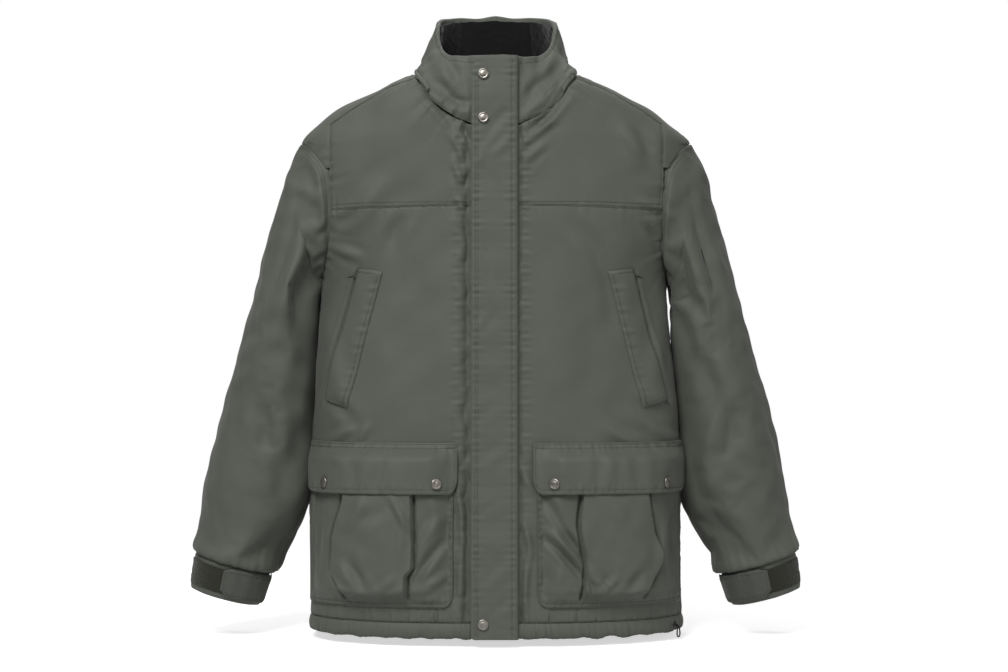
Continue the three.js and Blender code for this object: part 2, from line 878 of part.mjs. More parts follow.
function buildHandPockets() {
  const top = bodyLength - weltTopDrop;
  const bottom = bodyLength - weltBottomDrop;
  const innerX = (height) => mix(weltBottomX, weltTopX, (height - bottom) / (top - bottom));
  const weltEdges = (height) => [
    angleAtX(innerX(height), height),
    angleAtX(innerX(height) + weltWidth, height),
  ];
  const weltEnds = (across) => [
    bottom + weltBottomSlant * (across - 0.5),
    top + weltTopSlant * (across - 0.5),
  ];
  const welt = panel({
    edges: weltEdges,
    ends: weltEnds,
    outer: constant(layerGap + weltThickness),
    inner: constant(layerGap),
    columns: 4,
    rows: 8,
  });
  addPair('hand_pocket_welt', welt, shellCloth);

  const bagEdges = (height) => {
    const mouth = innerX(height) + weltWidth;
    return [angleAtX(mouth - weltWidth - bagDepth, height), angleAtX(mouth + bagLap, height)];
  };
  const bag = panel({
    edges: bagEdges,
    ends: constant([bottom - bagFoot, top - bagHead]),
    outer: constant(-shellThickness - bagGap),
    inner: constant(-shellThickness - bagGap - bagThickness),
    columns: 10,
    rows: 6,
  });
  addPair('hand_pocket_bag', bag, trimCloth);
}

// ---------------------------------------------------------------- bellows pockets

const seatRise = shellThickness + 2 * gap;

// how far the pocket's outside stands off the body, going to nothing at its edges
function pocketHeight(angle, height) {
  const inner = ease((angle - angleAtX(pocketInnerX, height)) / pocketInnerSlope);
  const outer = ease((pocketOuterAngle - angle) / pocketOuterSlope);
  const bottom = ease((height - pocketBottom) / pocketBottomSlope);
  const top = ease((flapTop - height) / (flapTop - pocketMouth));
  return seatRise + pocketRise * inner * outer * bottom * top;
}

// the flap lies close to the body at its seam and clears the pocket lower down
function flapHeight(angle, height) {
  const drop = ease((flapTop - height) / flapDrop);
  const seam = mix(seatRise - seamClearance, 0, drop);
  return pocketHeight(angle, height) - seam + flapClearance * drop;
}

// how far a corner of a given radius lifts the edge at a distance from the side
function cornerLift(distance, radius) {
  const inside = Math.max(radius - distance, 0);
  return radius - Math.sqrt(Math.max(radius ** 2 - inside ** 2, 0));
}

const facing = new THREE.Vector3(0, 0, 1);

// sets a piece made along +Z upon a surface, a little way off it
function seatOn(geometry, surface, angle, height, clearance) {
  const { point, normal } = frameOn(surface, angle, height);
  const turn = new THREE.Quaternion().setFromUnitVectors(facing, normal);
  geometry.applyQuaternion(turn);
  point.addScaledVector(normal, clearance);
  return geometry.translate(point.x, point.y, point.z);
}

function buildBellowsPockets() {
  const pocketEdges = (height) => [angleAtX(pocketInnerX, height), pocketOuterAngle];
  const pocketEnds = (across) => [pocketBottom + cornerLift(across * pocketReach, pocketCorner), pocketMouth];
  const pocket = panel({
    edges: pocketEdges,
    ends: pocketEnds,
    outer: pocketHeight,
    inner: (angle, height) => pocketHeight(angle, height) - shellThickness,
    columns: 16,
    rows: 9,
  });
  addPair('patch_pocket', pocket, shellCloth);

  const flapEdges = (height) => [angleAtX(flapInnerX, height), flapOuterAngle];
  const flapEnds = (across) => {
    const lift = cornerLift(Math.min(across, 1 - across) * pocketReach, flapCorner);
    return [flapBottom + lift, flapTop];
  };
  const flap = panel({
    edges: flapEdges,
    ends: flapEnds,
    outer: (angle, height) => flapHeight(angle, height) + flapThickness,
    inner: flapHeight,
    columns: 18,
    rows: 6,
  });
  addPair('pocket_flap', flap, shellCloth);

  const snapLevel = flapBottom + pocketSnapRise;
  const pocketFace = (angle, height) => bodyPoint(angle, height, pocketHeight(angle, height));
  const flapFace = (angle, height) => bodyPoint(angle, height, flapHeight(angle, height) + flapThickness);
  const snapAngles = {
    front: angleAtX(flapInnerX + pocketSnapInset, snapLevel),
    side: angleAtX(bodyHalfWidth - pocketSideSnapInset, snapLevel),
  };
  for (const [place, angle] of Object.entries(snapAngles)) {
    const cap = seatOn(snapCap(), flapFace, angle, snapLevel, gap + 0.2);
    addPair(`pocket_cap_${place}`, cap, snapMetal);
    const stud = seatOn(snapStud(flapClearance - 1.4), pocketFace, angle, snapLevel, gap + 0.1);
    addPair(`pocket_stud_${place}`, stud, snapMetal);
  }
}

// ---------------------------------------------------------------- sleeves

const cuffLength = 50;
const tipX = shoulderHalfWidth;
const tipZ = shoulderHeight;

// rings of the sleeve below the armhole: inner and outer points (x, height) as offsets from the
// shoulder tip, half depth and middle y; inner points are kept outside the body's own side
const sleeveRings = [
  { inner: [-27, -205], outer: [15, -29], halfDepth: 72, middleY: 5 },
  { inner: [-24, -213], outer: [30, -77], halfDepth: 77, middleY: 8 },
  { inner: [-21, -227], outer: [52, -149], halfDepth: 84, middleY: 10 },
  { inner: [-20, -252], outer: [71, -220], halfDepth: 88, middleY: 10 },
  { inner: [-17, -320], outer: [90, -293], halfDepth: 86, middleY: 8 },
  { inner: [-13, -409], outer: [114, -379], halfDepth: 80, middleY: 5 },
  { inner: [-10, -515], outer: [136, -479], halfDepth: 75, middleY: 2 },
  { inner: [14, -567], outer: [145, -537], halfDepth: 67, middleY: 0 },
  { inner: [45, -619], outer: [152, -589], halfDepth: 58, middleY: -3 },
];
const cuffEndRing = { inner: [61, -666], outer: [159, -639], halfDepth: 50, middleY: -5 };

// a point of a ring: turn 0 is its outer side, 90 its front, 180 its inner side
function ringPoint(ring, turn, inset) {
  const inner = new THREE.Vector3(tipX + ring.inner[0], ring.middleY, tipZ + ring.inner[1]);
  const outer = new THREE.Vector3(tipX + ring.outer[0], ring.middleY, tipZ + ring.outer[1]);
  const least = halfWidthAt(inner.z) + sleeveGap;
  const shift = Math.max(least - inner.x, 0);
  inner.x += shift;
  outer.x += shift;
  const half = outer.clone().sub(inner).multiplyScalar(0.5);
  const middle = inner.clone().add(half);
  const length = half.length();
  const point = middle.addScaledVector(half, (Math.cos(turn * radians) * (length - inset)) / length);
  point.y -= (ring.halfDepth - inset) * Math.sin(turn * radians);
  return point;
}

// the sleeve's end at the armhole, lying along its seam
function armholeRingPoint(turn, inset) {
  const middle = (armpitHeight + shoulderHeight) / 2;
  const ahead = Math.sin(turn * radians);
  let height = armholeHeight(turn);
  const reach = Math.min(armholeAt(height) / halfWidthAt(height), 1);
  const depth = ahead > 0 ? frontDepthAt(height) : backDepthAt(height);
  const fullness = Math.max((1 - reach ** sectionPower) ** (1 / sectionPower), 0.16 * Math.abs(ahead));
  let y = -Math.sign(ahead) * depth * fullness;
  if (Math.abs(ahead) < 1e-9) {
    y = 0;
  }
  const distance = Math.hypot(y, height - middle);
  y -= (y / distance) * inset;
  height -= ((height - middle) / distance) * inset;
  return new THREE.Vector3(armholeAt(height) + armholeGap, y, height);
}

function tube(rings, around) {
  const columns = [];
  for (let k = 0; k < around; k++) {
    const turn = (k / around) * 360;
    const outside = rings.map((ring) => ring(turn, true));
    const inside = rings.map((ring) => ring(turn, false)).reverse();
    columns.push([...outside, ...inside]);
  }
  return sweepLoops(columns, [], { closed: true, folded: true });
}

function betweenRings(a, b, t) {
  const pair = (from, to) => [mix(from[0], to[0], t), mix(from[1], to[1], t)];
  return {
    inner: pair(a.inner, b.inner),
    outer: pair(a.outer, b.outer),
    halfDepth: mix(a.halfDepth, b.halfDepth, t),
    middleY: mix(a.middleY, b.middleY, t),
  };
}

const cuffSeamRing = sleeveRings[sleeveRings.length - 1];
const cuffSeamGap = gap / cuffLength;

function buildSleeves() {
  const last = sleeveRings.length - 1;
  const lowerEnd = betweenRings(sleeveRings[last], sleeveRings[last - 1], cuffSeamGap);
  const rings = [...sleeveRings.slice(0, last), lowerEnd];
  const shellRings = rings.map((ring) => (turn, outside) => {
    return ringPoint(ring, turn, outside ? 0 : shellThickness);
  });
  const start = (turn, outside) => armholeRingPoint(turn, outside ? 0 : shellThickness);
  addPair('sleeve', tube([start, ...shellRings], sleeveColumns), shellCloth);

  const near = shellThickness + layerGap;
  const liningRings = rings.map((ring) => (turn, outside) => {
    return ringPoint(ring, turn, outside ? near : near + sleeveLining);
  });
  addPair('sleeve_lining', tube(liningRings, sleeveColumns), liningCloth);

  const cuffTop = betweenRings(cuffSeamRing, cuffEndRing, cuffSeamGap);
  const cuffRings = [cuffTop, cuffEndRing].map((ring) => (turn, outside) => {
    return ringPoint(ring, turn, outside ? 0 : cuffWall);
  });
  addPair('cuff_band', tube(cuffRings, sleeveColumns), shellCloth);
}

// a point off the cuff's outside: turn round it, and 0 at its seam to 1 at its end
function cuffPoint(turn, along, offset) {
  return ringPoint(betweenRings(cuffSeamRing, cuffEndRing, along), turn, -offset);
}

function buildCuffFastenings() {
  const layout = { point: cuffPoint, columns: 8, rows: 1 };
  const patchLift = gap + 0.3;
  const layer = (from, thickness) => ({ inner: constant(from), outer: constant(from + thickness) });

  const patchLayer = layer(patchLift, patchThickness);
  const patch = panel({
    ...layout,
    ...patchLayer,
    edges: constant([patchFrom, patchTo]),
    ends: constant(patchSpan),
  });
  addPair('cuff_loop_patch', patch, hookCloth);

  const hookFrom = patchLift + patchThickness + gap;
  const hook = panel({
    ...layout,
    ...layer(hookFrom, hookThickness),
    edges: constant([tabFrom + 3, patchTo]),
    ends: constant(hookSpan),
    columns: 4,
  });
  addPair('cuff_tab_hook', hook, hookCloth);

  const tabLayer = layer(hookFrom + hookThickness + gap, tabThickness);
  const tabEnds = (across) => {
    const blunt = tabBlunt * (1 - ease(across / 0.14));
    return [tabSpan[0] + blunt * 0.6, tabSpan[1] - blunt];
  };
  const tab = panel({
    ...layout,
    ...tabLayer,
    edges: constant([tabFrom, tabTo]),
    ends: tabEnds,
    columns: 14,
  });
  addPair('cuff_tab', tab, shellCloth);
}

// ---------------------------------------------------------------- draw cord

// The cord comes out of the eyelet in the hem band, hangs in a short loop and goes back in.
const eyeletAngle = hemAngle(eyeletColumn);

function buildDrawCord() {
  const ring = new THREE.Shape();
  ring.absarc(0, 0, eyeletOuter, 0, 2 * Math.PI);
  const hole = new THREE.Path();
  hole.absarc(0, 0, eyeletInner, 0, 2 * Math.PI, true);
  ring.holes.push(hole);
  const eyelet = new THREE.ExtrudeGeometry(ring, {
    depth: eyeletHeight,
    bevelEnabled: false,
    curveSegments: 6,
  });
  addPiece('hem_eyelet', seatOn(eyelet, bodyOutside, eyeletAngle, eyeletLevel, gap), snapMetal);

  const { point, normal } = frameOn(bodyOutside, eyeletAngle, eyeletLevel);
  const across = new THREE.Vector3(-normal.y, normal.x, 0).normalize();
  // each point: across the eyelet, out from the band, and up, chosen by hand
  const route = [
    [-1.5, 0.6, 0],
    [-1.5, 2.6, 0],
    [-1.6, 5, -1],
    [-2.0, 6.8, -3.4],
    [-2.6, 7.4, -6.4],
    [-3.4, 7.5, -9.6],
    [-3.9, 7.5, -12.4],
    [-3.4, 7.6, -15],
    [-1.9, 7.7, -16.9],
    [0.2, 7.8, -17.6],
    [2.3, 7.9, -16.9],
    [3.8, 8.0, -15],
    [4.3, 8.0, -12.4],
    [3.8, 8.0, -9.6],
    [3.0, 7.9, -6.4],
    [2.2, 7.2, -3.4],
    [1.7, 5.2, -1],
    [1.5, 2.6, 0],
    [1.5, 0.6, 0],
  ];
  const points = route.map(([a, out, up]) => {
    const place = point.clone().addScaledVector(across, a).addScaledVector(normal, out);
    place.z += up;
    return place;
  });
  const circle = new THREE.Shape();
  circle.absarc(0, 0, cordDiameter / 2, 0, 2 * Math.PI);
  const path = new THREE.CatmullRomCurve3(points);
  const cord = new THREE.ExtrudeGeometry(circle, { steps: 20, curveSegments: 4, extrudePath: path });
  addPiece('drawcord_loop', cord, cordCloth);
}

// ---------------------------------------------------------------- assembly

buildShell();
buildCollar();
buildHangerLoop();
buildLining();
buildHem();
buildZip();
buildSlider();
buildPuller();
buildStormFlap();
buildHandPockets();
buildBellowsPockets();
buildSleeves();
buildCuffFastenings();
buildDrawCord();

export default jacket;
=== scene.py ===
import math

import bpy
import numpy as np
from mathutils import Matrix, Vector, kdtree


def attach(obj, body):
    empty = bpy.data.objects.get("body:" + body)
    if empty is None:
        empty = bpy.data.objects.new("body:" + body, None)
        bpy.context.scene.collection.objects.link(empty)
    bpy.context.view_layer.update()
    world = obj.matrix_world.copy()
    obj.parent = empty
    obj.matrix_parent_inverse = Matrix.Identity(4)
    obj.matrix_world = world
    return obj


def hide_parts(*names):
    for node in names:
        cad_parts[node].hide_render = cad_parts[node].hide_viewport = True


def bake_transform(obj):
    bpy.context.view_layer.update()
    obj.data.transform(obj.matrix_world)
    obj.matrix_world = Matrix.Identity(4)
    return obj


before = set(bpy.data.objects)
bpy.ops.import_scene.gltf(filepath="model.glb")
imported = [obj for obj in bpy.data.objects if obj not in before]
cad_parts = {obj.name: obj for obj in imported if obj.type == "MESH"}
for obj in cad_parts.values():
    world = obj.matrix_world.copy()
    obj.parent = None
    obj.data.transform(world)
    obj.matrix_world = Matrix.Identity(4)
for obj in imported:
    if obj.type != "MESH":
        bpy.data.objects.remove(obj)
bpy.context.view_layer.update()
scene = bpy.context.scene

# everything is worked out in millimetres, with heights from the hem's lower edge, as the jacket is cut;
# toFrame() then lowers it so that the middle of the neck opening is the origin
cut = {
    "length": 795.0,
    "halfWidth": 268.0,
    "armpitTuck": 20.5,
    "shoulderSpread": 14.0,
    "neckHalfWidth": 113.0,
    "straightHem": 182.0,
    "armpit": 503.0,
    "shoulder": 697.0,
    "yoke": 600.0,
    "power": 2.5,
    "frontHem": 150.0,
    "frontTop": 90.0,
    "placketTop": 815.0,
    "hemBand": 22.0,
    "openingHalf": 6.5,
}
power = cut["power"]


def toFrame(points):
    placed = np.array(points, float) / 1000.0
    placed[..., 2] -= cut["length"] / 1000.0
    return placed


def mix(a, b, t):
    return a + (b - a) * t


def ease(t):
    held = np.clip(t, 0, 1)
    return held * held * (3 - 2 * held)


def bell(distance, width):
    return np.exp(-((distance / width) ** 2))


def smoothCurve(knots):
    places = np.array([k[0] for k in knots], float)
    values = np.array([k[1] for k in knots], float)
    steps = np.diff(values) / np.diff(places)
    slopes = np.empty(len(knots))
    slopes[0], slopes[-1] = steps[0], steps[-1]
    for i in range(1, len(knots) - 1):
        left, right = steps[i - 1], steps[i]
        slopes[i] = 0 if left * right <= 0 else 2 * left * right / (left + right)

    def curve(place):
        place = np.asarray(place, float)
        i = np.clip(np.searchsorted(places, place, side="right") - 1, 0, len(places) - 2)
        span = places[i + 1] - places[i]
        t = (place - places[i]) / span
        start = values[i] * (1 + 2 * t) * (1 - t) ** 2 + slopes[i] * span * t * (1 - t) ** 2
        finish = values[i + 1] * t * t * (3 - 2 * t) - slopes[i + 1] * span * t * t * (1 - t)
        low = values[0] + slopes[0] * (place - places[0])
        high = values[-1] + slopes[-1] * (place - places[-1])
        return np.where(place <= places[0], low, np.where(place >= places[-1], high, start + finish))

    return curve


# the body's surface

armpitHalf = cut["halfWidth"] - cut["armpitTuck"]
shoulderHalf = cut["halfWidth"] + cut["shoulderSpread"]
armpit, shoulder, length = cut["armpit"], cut["shoulder"], cut["length"]

halfWidthAt = smoothCurve(
    [
        (0, cut["halfWidth"]),
        (cut["straightHem"], cut["halfWidth"] - 0.5),
        (armpit - 143, cut["halfWidth"] - 8),
        (armpit - 10, armpitHalf),
        (armpit, armpitHalf + 0.3),
        (armpit + 57, shoulderHalf - 16),
        (armpit + 97, shoulderHalf + 3),
        (shoulder - 37, shoulderHalf + 5),
        (shoulder, shoulderHalf),
        (shoulder + 30, shoulderHalf - 29),
        (shoulder + 55, shoulderHalf - 62),
        (shoulder + 78, cut["neckHalfWidth"] + 59),
        (shoulder + 90, cut["neckHalfWidth"] + 24),
        (length, cut["neckHalfWidth"]),
        (length + 10, cut["neckHalfWidth"] - 24),
    ]
)
backDepthAt = smoothCurve([(0, 140), (armpit, 135), (shoulder, 105), (length, 88), (length + 10, 85)])
neckRiseAt = smoothCurve([(0, 0), (30, 0.24), (45, 0.52), (52, 0.76), (59, 0.885), (71, 0.975), (90, 1)])
shoulderSeamAt = smoothCurve([(697, 81), (723, 78), (766, 71.4), (782, 62), (795, 56)])
armholeAt = smoothCurve(
    [
        (armpit, float(halfWidthAt(armpit))),
        (armpit + 42, armpitHalf - 8.5),
        (armpit + 97, shoulderHalf - 45),
        (shoulder - 47, shoulderHalf - 41),
        (shoulder - 15, shoulderHalf - 20),
        (shoulder, shoulderHalf),
    ]
)


def frontDepthAt(height):
    return mix(cut["frontHem"], cut["frontTop"], height / cut["placketTop"])


def bodyOutside(angle, height):
    turn = np.radians(angle)
    side, ahead = np.sin(turn), np.cos(turn)
    depth = np.where(ahead > 0, frontDepthAt(height), backDepthAt(height))
    across = np.abs(side / halfWidthAt(height)) ** power
    along = np.abs(ahead / depth) ** power
    reach = (across + along) ** (-1 / power)
    return np.stack([reach * side, -reach * ahead, height + 0 * reach], -1)


def unit(vectors):
    return vectors / np.maximum(np.linalg.norm(vectors, axis=-1, keepdims=True), 1e-9)


def placeOn(surface, a, b, lift):
    step = 0.05
    alongA = surface(a + step, b) - surface(a - step, b)
    alongB = surface(a, b + step) - surface(a, b - step)
    return surface(a, b) + unit(np.cross(alongA, alongB)) * np.asarray(lift)[..., None]


def angleAtX(x, height, back=False):
    reach = np.minimum(np.abs(x) / halfWidthAt(height), 0.99999)
    depth = backDepthAt(height) if back else frontDepthAt(height)
    y = depth * (1 - reach**power) ** (1 / power)
    turned = np.degrees(np.arctan2(np.abs(x), y))
    return 180 - turned if back else turned


def neckSeamAt(angle):
    turned = np.where(angle > 180, 360 - angle, angle)
    front = length - 89 * (1 - neckRiseAt(turned))
    return np.where(turned <= 90, front, length + 5 * np.cos(np.radians(turned)) ** 2)


def yokeSeamAt(angle):
    return cut["yoke"] + 3 - 6 * np.sin(np.radians(np.minimum(angle, 180))) ** 6


def frontArmhole(height):
    return angleAtX(armholeAt(height), height)


def backArmhole(height):
    return angleAtX(armholeAt(height), height, back=True)


def forwardSeam(height):
    low = np.minimum(frontArmhole(height), angleAtX(237, height))
    return np.where(height < 723, low, shoulderSeamAt(height))


collarRiseAt = smoothCurve([(0, 19), (40, 21), (62, 43.4), (90, 77), (130, 92), (180, 97)])


def collarOutside(angle, climb):
    turned = np.where(angle > 180, 360 - angle, angle)
    base = bodyOutside(angle, neckSeamAt(angle))
    turn = np.radians(angle)
    side, ahead = np.sin(turn), np.cos(turn)
    depth = np.where(ahead > 0, 90, 83)
    reach = (np.abs(side / 87) ** power + np.abs(ahead / depth) ** power) ** (-1 / power)
    top = np.stack([reach * side, -reach * ahead, length + collarRiseAt(turned)], -1)
    return base + (top - base) * np.asarray(climb)[..., None]


# the straight line of the front opening: x across, y up the line, z out

lean = math.atan2(cut["frontHem"] - cut["frontTop"], cut["placketTop"])


def upTheFront(x, y, z):
    ahead = -cut["frontHem"] + y * math.sin(lean) - z * math.cos(lean)
    return np.stack([x + 0 * ahead, ahead, y * math.cos(lean) + z * math.sin(lean)], -1)


# camera, then the cord

view = {"place": (0.012, -3.2, -0.375), "lens": 78.8, "sensor": 36.0}
cameraData = bpy.data.cameras.new("camera")
cameraData.lens = view["lens"]
cameraData.sensor_width = view["sensor"]
cameraData.clip_end = 60
camera = bpy.data.objects.new("camera", cameraData)
camera.location = view["place"]
camera.rotation_euler = (math.pi / 2, 0, 0)
scene.collection.objects.link(camera)
scene.camera = camera

cordLoop = {"diameter": 2.0, "level": 11.0, "column": 9, "columns": 44}
cordRoute = [  # across the eyelet, out from the band, up
    (-1.5, 0.6, 0),
    (-1.5, 2.6, 0),
    (-1.6, 5, -1),
    (-2.0, 6.8, -3.4),
    (-2.6, 7.4, -6.4),
    (-3.4, 7.5, -9.6),
    (-3.9, 7.5, -12.4),
    (-3.4, 7.6, -15),
    (-1.9, 7.7, -16.9),
    (0.2, 7.8, -17.6),
    (2.3, 7.9, -16.9),
    (3.8, 8.0, -15),
    (4.3, 8.0, -12.4),
    (3.8, 8.0, -9.6),
    (3.0, 7.9, -6.4),
    (2.2, 7.2, -3.4),
    (1.7, 5.2, -1),
    (1.5, 2.6, 0),
    (1.5, 0.6, 0),
]


def throughPoints(knots, steps):
    knots = np.array(knots, float)
    ends = np.vstack([2 * knots[0] - knots[1], knots, 2 * knots[-1] - knots[-2]])
    line = []
    for i in range(1, len(ends) - 2):
        a, b, c, d = ends[i - 1 : i + 3]
        for t in np.arange(steps) / steps:
            slope = 2 * b + (c - a) * t
            line.append(0.5 * (slope + (2 * a - 5 * b + 4 * c - d) * t * t + (3 * b - a - 3 * c + d) * t**3))
    line.append(knots[-1])
    return np.array(line)


def eyeletFrame():
    start = angleAtX(cut["openingHalf"], 0)
    angle = mix(start, 360 - start, cordLoop["column"] / cordLoop["columns"])
    level = cordLoop["level"]
    point = placeOn(bodyOutside, angle, level, 0.0)
    normal = unit(placeOn(bodyOutside, angle, level, 1.0) - point)
    across = unit(np.array([-normal[1], normal[0], 0]))
    return point, across, normal


def makeCord():
    point, across, normal = eyeletFrame()
    knots = [point + across * a + normal * out + np.array([0, 0, up]) for a, out, up in cordRoute]
    line = toFrame(throughPoints(knots, 6))
    data = bpy.data.curves.new("hemCordLoop", "CURVE")
    data.dimensions = "3D"
    data.bevel_depth = cordLoop["diameter"] / 2000
    data.bevel_resolution = 4
    data.use_fill_caps = True
    spline = data.splines.new("POLY")
    spline.points.add(len(line) - 1)
    for place, p in zip(line, spline.points):
        p.co = (*place, 1)
    route = bpy.data.objects.new("hemCordRoute", data)
    scene.collection.objects.link(route)
    drawn = route.evaluated_get(bpy.context.evaluated_depsgraph_get())
    tube = bpy.data.meshes.new_from_object(drawn)
    bpy.data.objects.remove(route)
    loop = bpy.data.objects.new("hemCordLoop", tube)
    scene.collection.objects.link(loop)
    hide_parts("drawcord_loop")
    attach(loop, "jacket_body")
    return loop


hemLoop = makeCord()
print("camera and cord placed")

# node groups and materials


def newGroup(name, inputs, outputs):
    group = bpy.data.node_groups.new(name, "ShaderNodeTree")
    for label, kind, value in inputs:
        socket = group.interface.new_socket(label, in_out="INPUT", socket_type=kind)
        if value is not None:
            socket.default_value = value
    for label, kind in outputs:
        group.interface.new_socket(label, in_out="OUTPUT", socket_type=kind)
    return group, group.nodes.new("NodeGroupInput"), group.nodes.new("NodeGroupOutput")


def addMath(tree, operation, first, second=None, third=None):
    node = tree.nodes.new("ShaderNodeMath")
    node.operation = operation
    for i, value in enumerate((first, second, third)):
        if value is None:
            continue
        if isinstance(value, (int, float)):
            node.inputs[i].default_value = value
        else:
            tree.links.new(value, node.inputs[i])
    return node.outputs[0]


def addNoise(tree, vector, scale, detail=3.0, rough=0.5):
    node = tree.nodes.new("ShaderNodeTexNoise")
    node.inputs["Detail"].default_value = detail
    node.inputs["Roughness"].default_value = rough
    if isinstance(scale, (int, float)):
        node.inputs["Scale"].default_value = scale
    else:
        tree.links.new(scale, node.inputs["Scale"])
    tree.links.new(vector, node.inputs["Vector"])
    return node.outputs["Fac"]


def buildWeave():
    inputs = [
        ("Cloth", "NodeSocketVector", None),
        ("Threads per metre", "NodeSocketFloat", 1000.0),
        ("Slub", "NodeSocketFloat", 0.3),
    ]
    outputs = [("Height", "NodeSocketFloat"), ("Shade", "NodeSocketFloat")]
    group, start, end = newGroup("plainWeave", inputs, outputs)
    split = group.nodes.new("ShaderNodeSeparateXYZ")
    group.links.new(start.outputs["Cloth"], split.inputs[0])
    turns = addMath(group, "MULTIPLY", start.outputs["Threads per metre"], math.pi)
    warp = addMath(group, "SINE", addMath(group, "MULTIPLY", split.outputs[0], turns))
    weft = addMath(group, "SINE", addMath(group, "MULTIPLY", split.outputs[1], turns))
    crossing = addMath(group, "MULTIPLY", warp, weft)
    slub = addNoise(group, start.outputs["Cloth"], 900.0, 2.0)
    slubbed = addMath(group, "MULTIPLY", slub, start.outputs["Slub"])
    height = addMath(group, "ADD", addMath(group, "MULTIPLY_ADD", crossing, 0.5, 0.5), slubbed)
    group.links.new(height, end.inputs["Height"])
    # Shade follows the same crossings as Height: the colour is darkened where the threads dip and lightened
    # on the crossings, a painted shade and painted highlight of the weave
    group.links.new(addMath(group, "MULTIPLY_ADD", crossing, 0.12, 0.9), end.inputs["Shade"])
    return group


def buildMottle():
    inputs = [
        ("Place", "NodeSocketVector", None),
        ("Patch size", "NodeSocketFloat", 6.0),
        ("Strength", "NodeSocketFloat", 0.1),
    ]
    outputs = [("Shade", "NodeSocketFloat"), ("Polish", "NodeSocketFloat")]
    group, start, end = newGroup("handledMottle", inputs, outputs)
    broad = addNoise(group, start.outputs["Place"], start.outputs["Patch size"], 4.0, 0.55)
    fine = addNoise(group, start.outputs["Place"], 160.0, 3.0, 0.6)
    mostlyBroad = addMath(group, "MULTIPLY", broad, 0.75)
    both = addMath(group, "ADD", mostlyBroad, addMath(group, "MULTIPLY", fine, 0.25))
    centred = addMath(group, "SUBTRACT", both, 0.5)
    shade = addMath(group, "MULTIPLY_ADD", centred, start.outputs["Strength"], 1.0)
    group.links.new(shade, end.inputs["Shade"])
    group.links.new(addMath(group, "MULTIPLY", centred, start.outputs["Strength"]), end.inputs["Polish"])
    return group


weaveGroup = buildWeave()
mottleGroup = buildMottle()


def linear(colour):
    shown = [c / 255 for c in colour]
    return tuple(c / 12.92 if c <= 10 / 255 else ((c + 0.055) / 1.055) ** 2.4 for c in shown) + (1.0,)


def place(tree, group, values):
    node = tree.nodes.new("ShaderNodeGroup")
    node.node_tree = group
    for label, value in values.items():
        if isinstance(value, (int, float)):
            node.inputs[label].default_value = value
        else:
            tree.links.new(value, node.inputs[label])
    return node


def startMaterial(name, colour, roughness):
    made = bpy.data.materials.new(name)
    made.use_nodes = True
    shader = made.node_tree.nodes["Principled BSDF"]
    shader.inputs["Base Color"].default_value = linear(colour)
    shader.inputs["Roughness"].default_value = roughness
    made.diffuse_color = linear(colour)
    return made, made.node_tree, shader


def shaded(tree, colour, shade):
    node = tree.nodes.new("ShaderNodeVectorMath")
    node.operation = "SCALE"
    node.inputs[0].default_value = linear(colour)[:3]
    tree.links.new(shade, node.inputs["Scale"])
    return node.outputs[0]


def mottled(tree, where, size, strength):
    values = {"Place": where.outputs["Object"], "Patch size": size, "Strength": strength}
    return place(tree, mottleGroup, values)


def addBump(tree, height, distance, strength, under=None):
    bump = tree.nodes.new("ShaderNodeBump")
    bump.inputs["Distance"].default_value = distance
    bump.inputs["Strength"].default_value = strength
    tree.links.new(height, bump.inputs["Height"])
    if under is not None:
        tree.links.new(under, bump.inputs["Normal"])
    return bump.outputs[0]


wovenCloth = {
    "threads": 1100.0,
    "roughness": 0.62,
    "sheen": 0.12,
    "sheenRoughness": 0.45,
    "specular": 0.28,
    "mottle": 0.25,
    "patch": 9.0,
    "weaveDepth": 0.00006,
    "weaveStrength": 0.6,
    "creaseSize": 55.0,
    "creaseDepth": 0.0006,
    "creaseStrength": 0.8,
}


def clothMaterial(name, colour, **changes):
    look = wovenCloth | changes
    made, tree, shader = startMaterial(name, colour, look["roughness"])
    where = tree.nodes.new("ShaderNodeTexCoord")
    weave = place(tree, weaveGroup, {"Cloth": where.outputs["UV"], "Threads per metre": look["threads"]})
    patches = mottled(tree, where, look["patch"], look["mottle"])
    # the colour takes the weave's painted shade and painted highlight, times the mottle's random tone
    shade = addMath(tree, "MULTIPLY", weave.outputs["Shade"], patches.outputs["Shade"])
    tree.links.new(shaded(tree, colour, shade), shader.inputs["Base Color"])
    gloss = addMath(tree, "ADD", patches.outputs["Polish"], look["roughness"])
    tree.links.new(gloss, shader.inputs["Roughness"])
    shader.inputs["Sheen Weight"].default_value = look["sheen"]
    shader.inputs["Sheen Roughness"].default_value = look["sheenRoughness"]
    shader.inputs["Specular IOR Level"].default_value = look["specular"]
    rumple = addNoise(tree, where.outputs["Object"], look["creaseSize"], 3.0)
    creased = addBump(tree, rumple, look["creaseDepth"], look["creaseStrength"])
    woven = addBump(tree, weave.outputs["Height"], look["weaveDepth"], look["weaveStrength"], creased)
    tree.links.new(woven, shader.inputs["Normal"])
    return made


def pileMaterial(name, colour, scale, depth, roughness=0.95, sheen=0.25):
    made, tree, shader = startMaterial(name, colour, roughness)
    where = tree.nodes.new("ShaderNodeTexCoord")
    tufts = addNoise(tree, where.outputs["Object"], scale, 4.0, 0.7)
    patches = mottled(tree, where, 30.0, 0.5)
    # the tufts that the bump raises also colour the pile: darker in their hollows and lighter on their tips,
    # a painted shade and painted highlight
    tuftShade = addMath(tree, "MULTIPLY_ADD", tufts, 1.1, 0.45)
    shade = addMath(tree, "MULTIPLY", tuftShade, patches.outputs["Shade"])
    tree.links.new(shaded(tree, colour, shade), shader.inputs["Base Color"])
    shader.inputs["Sheen Weight"].default_value = sheen
    shader.inputs["Sheen Roughness"].default_value = 0.5
    shader.inputs["Specular IOR Level"].default_value = 0.15
    tree.links.new(addBump(tree, tufts, depth, 0.9), shader.inputs["Normal"])
    return made


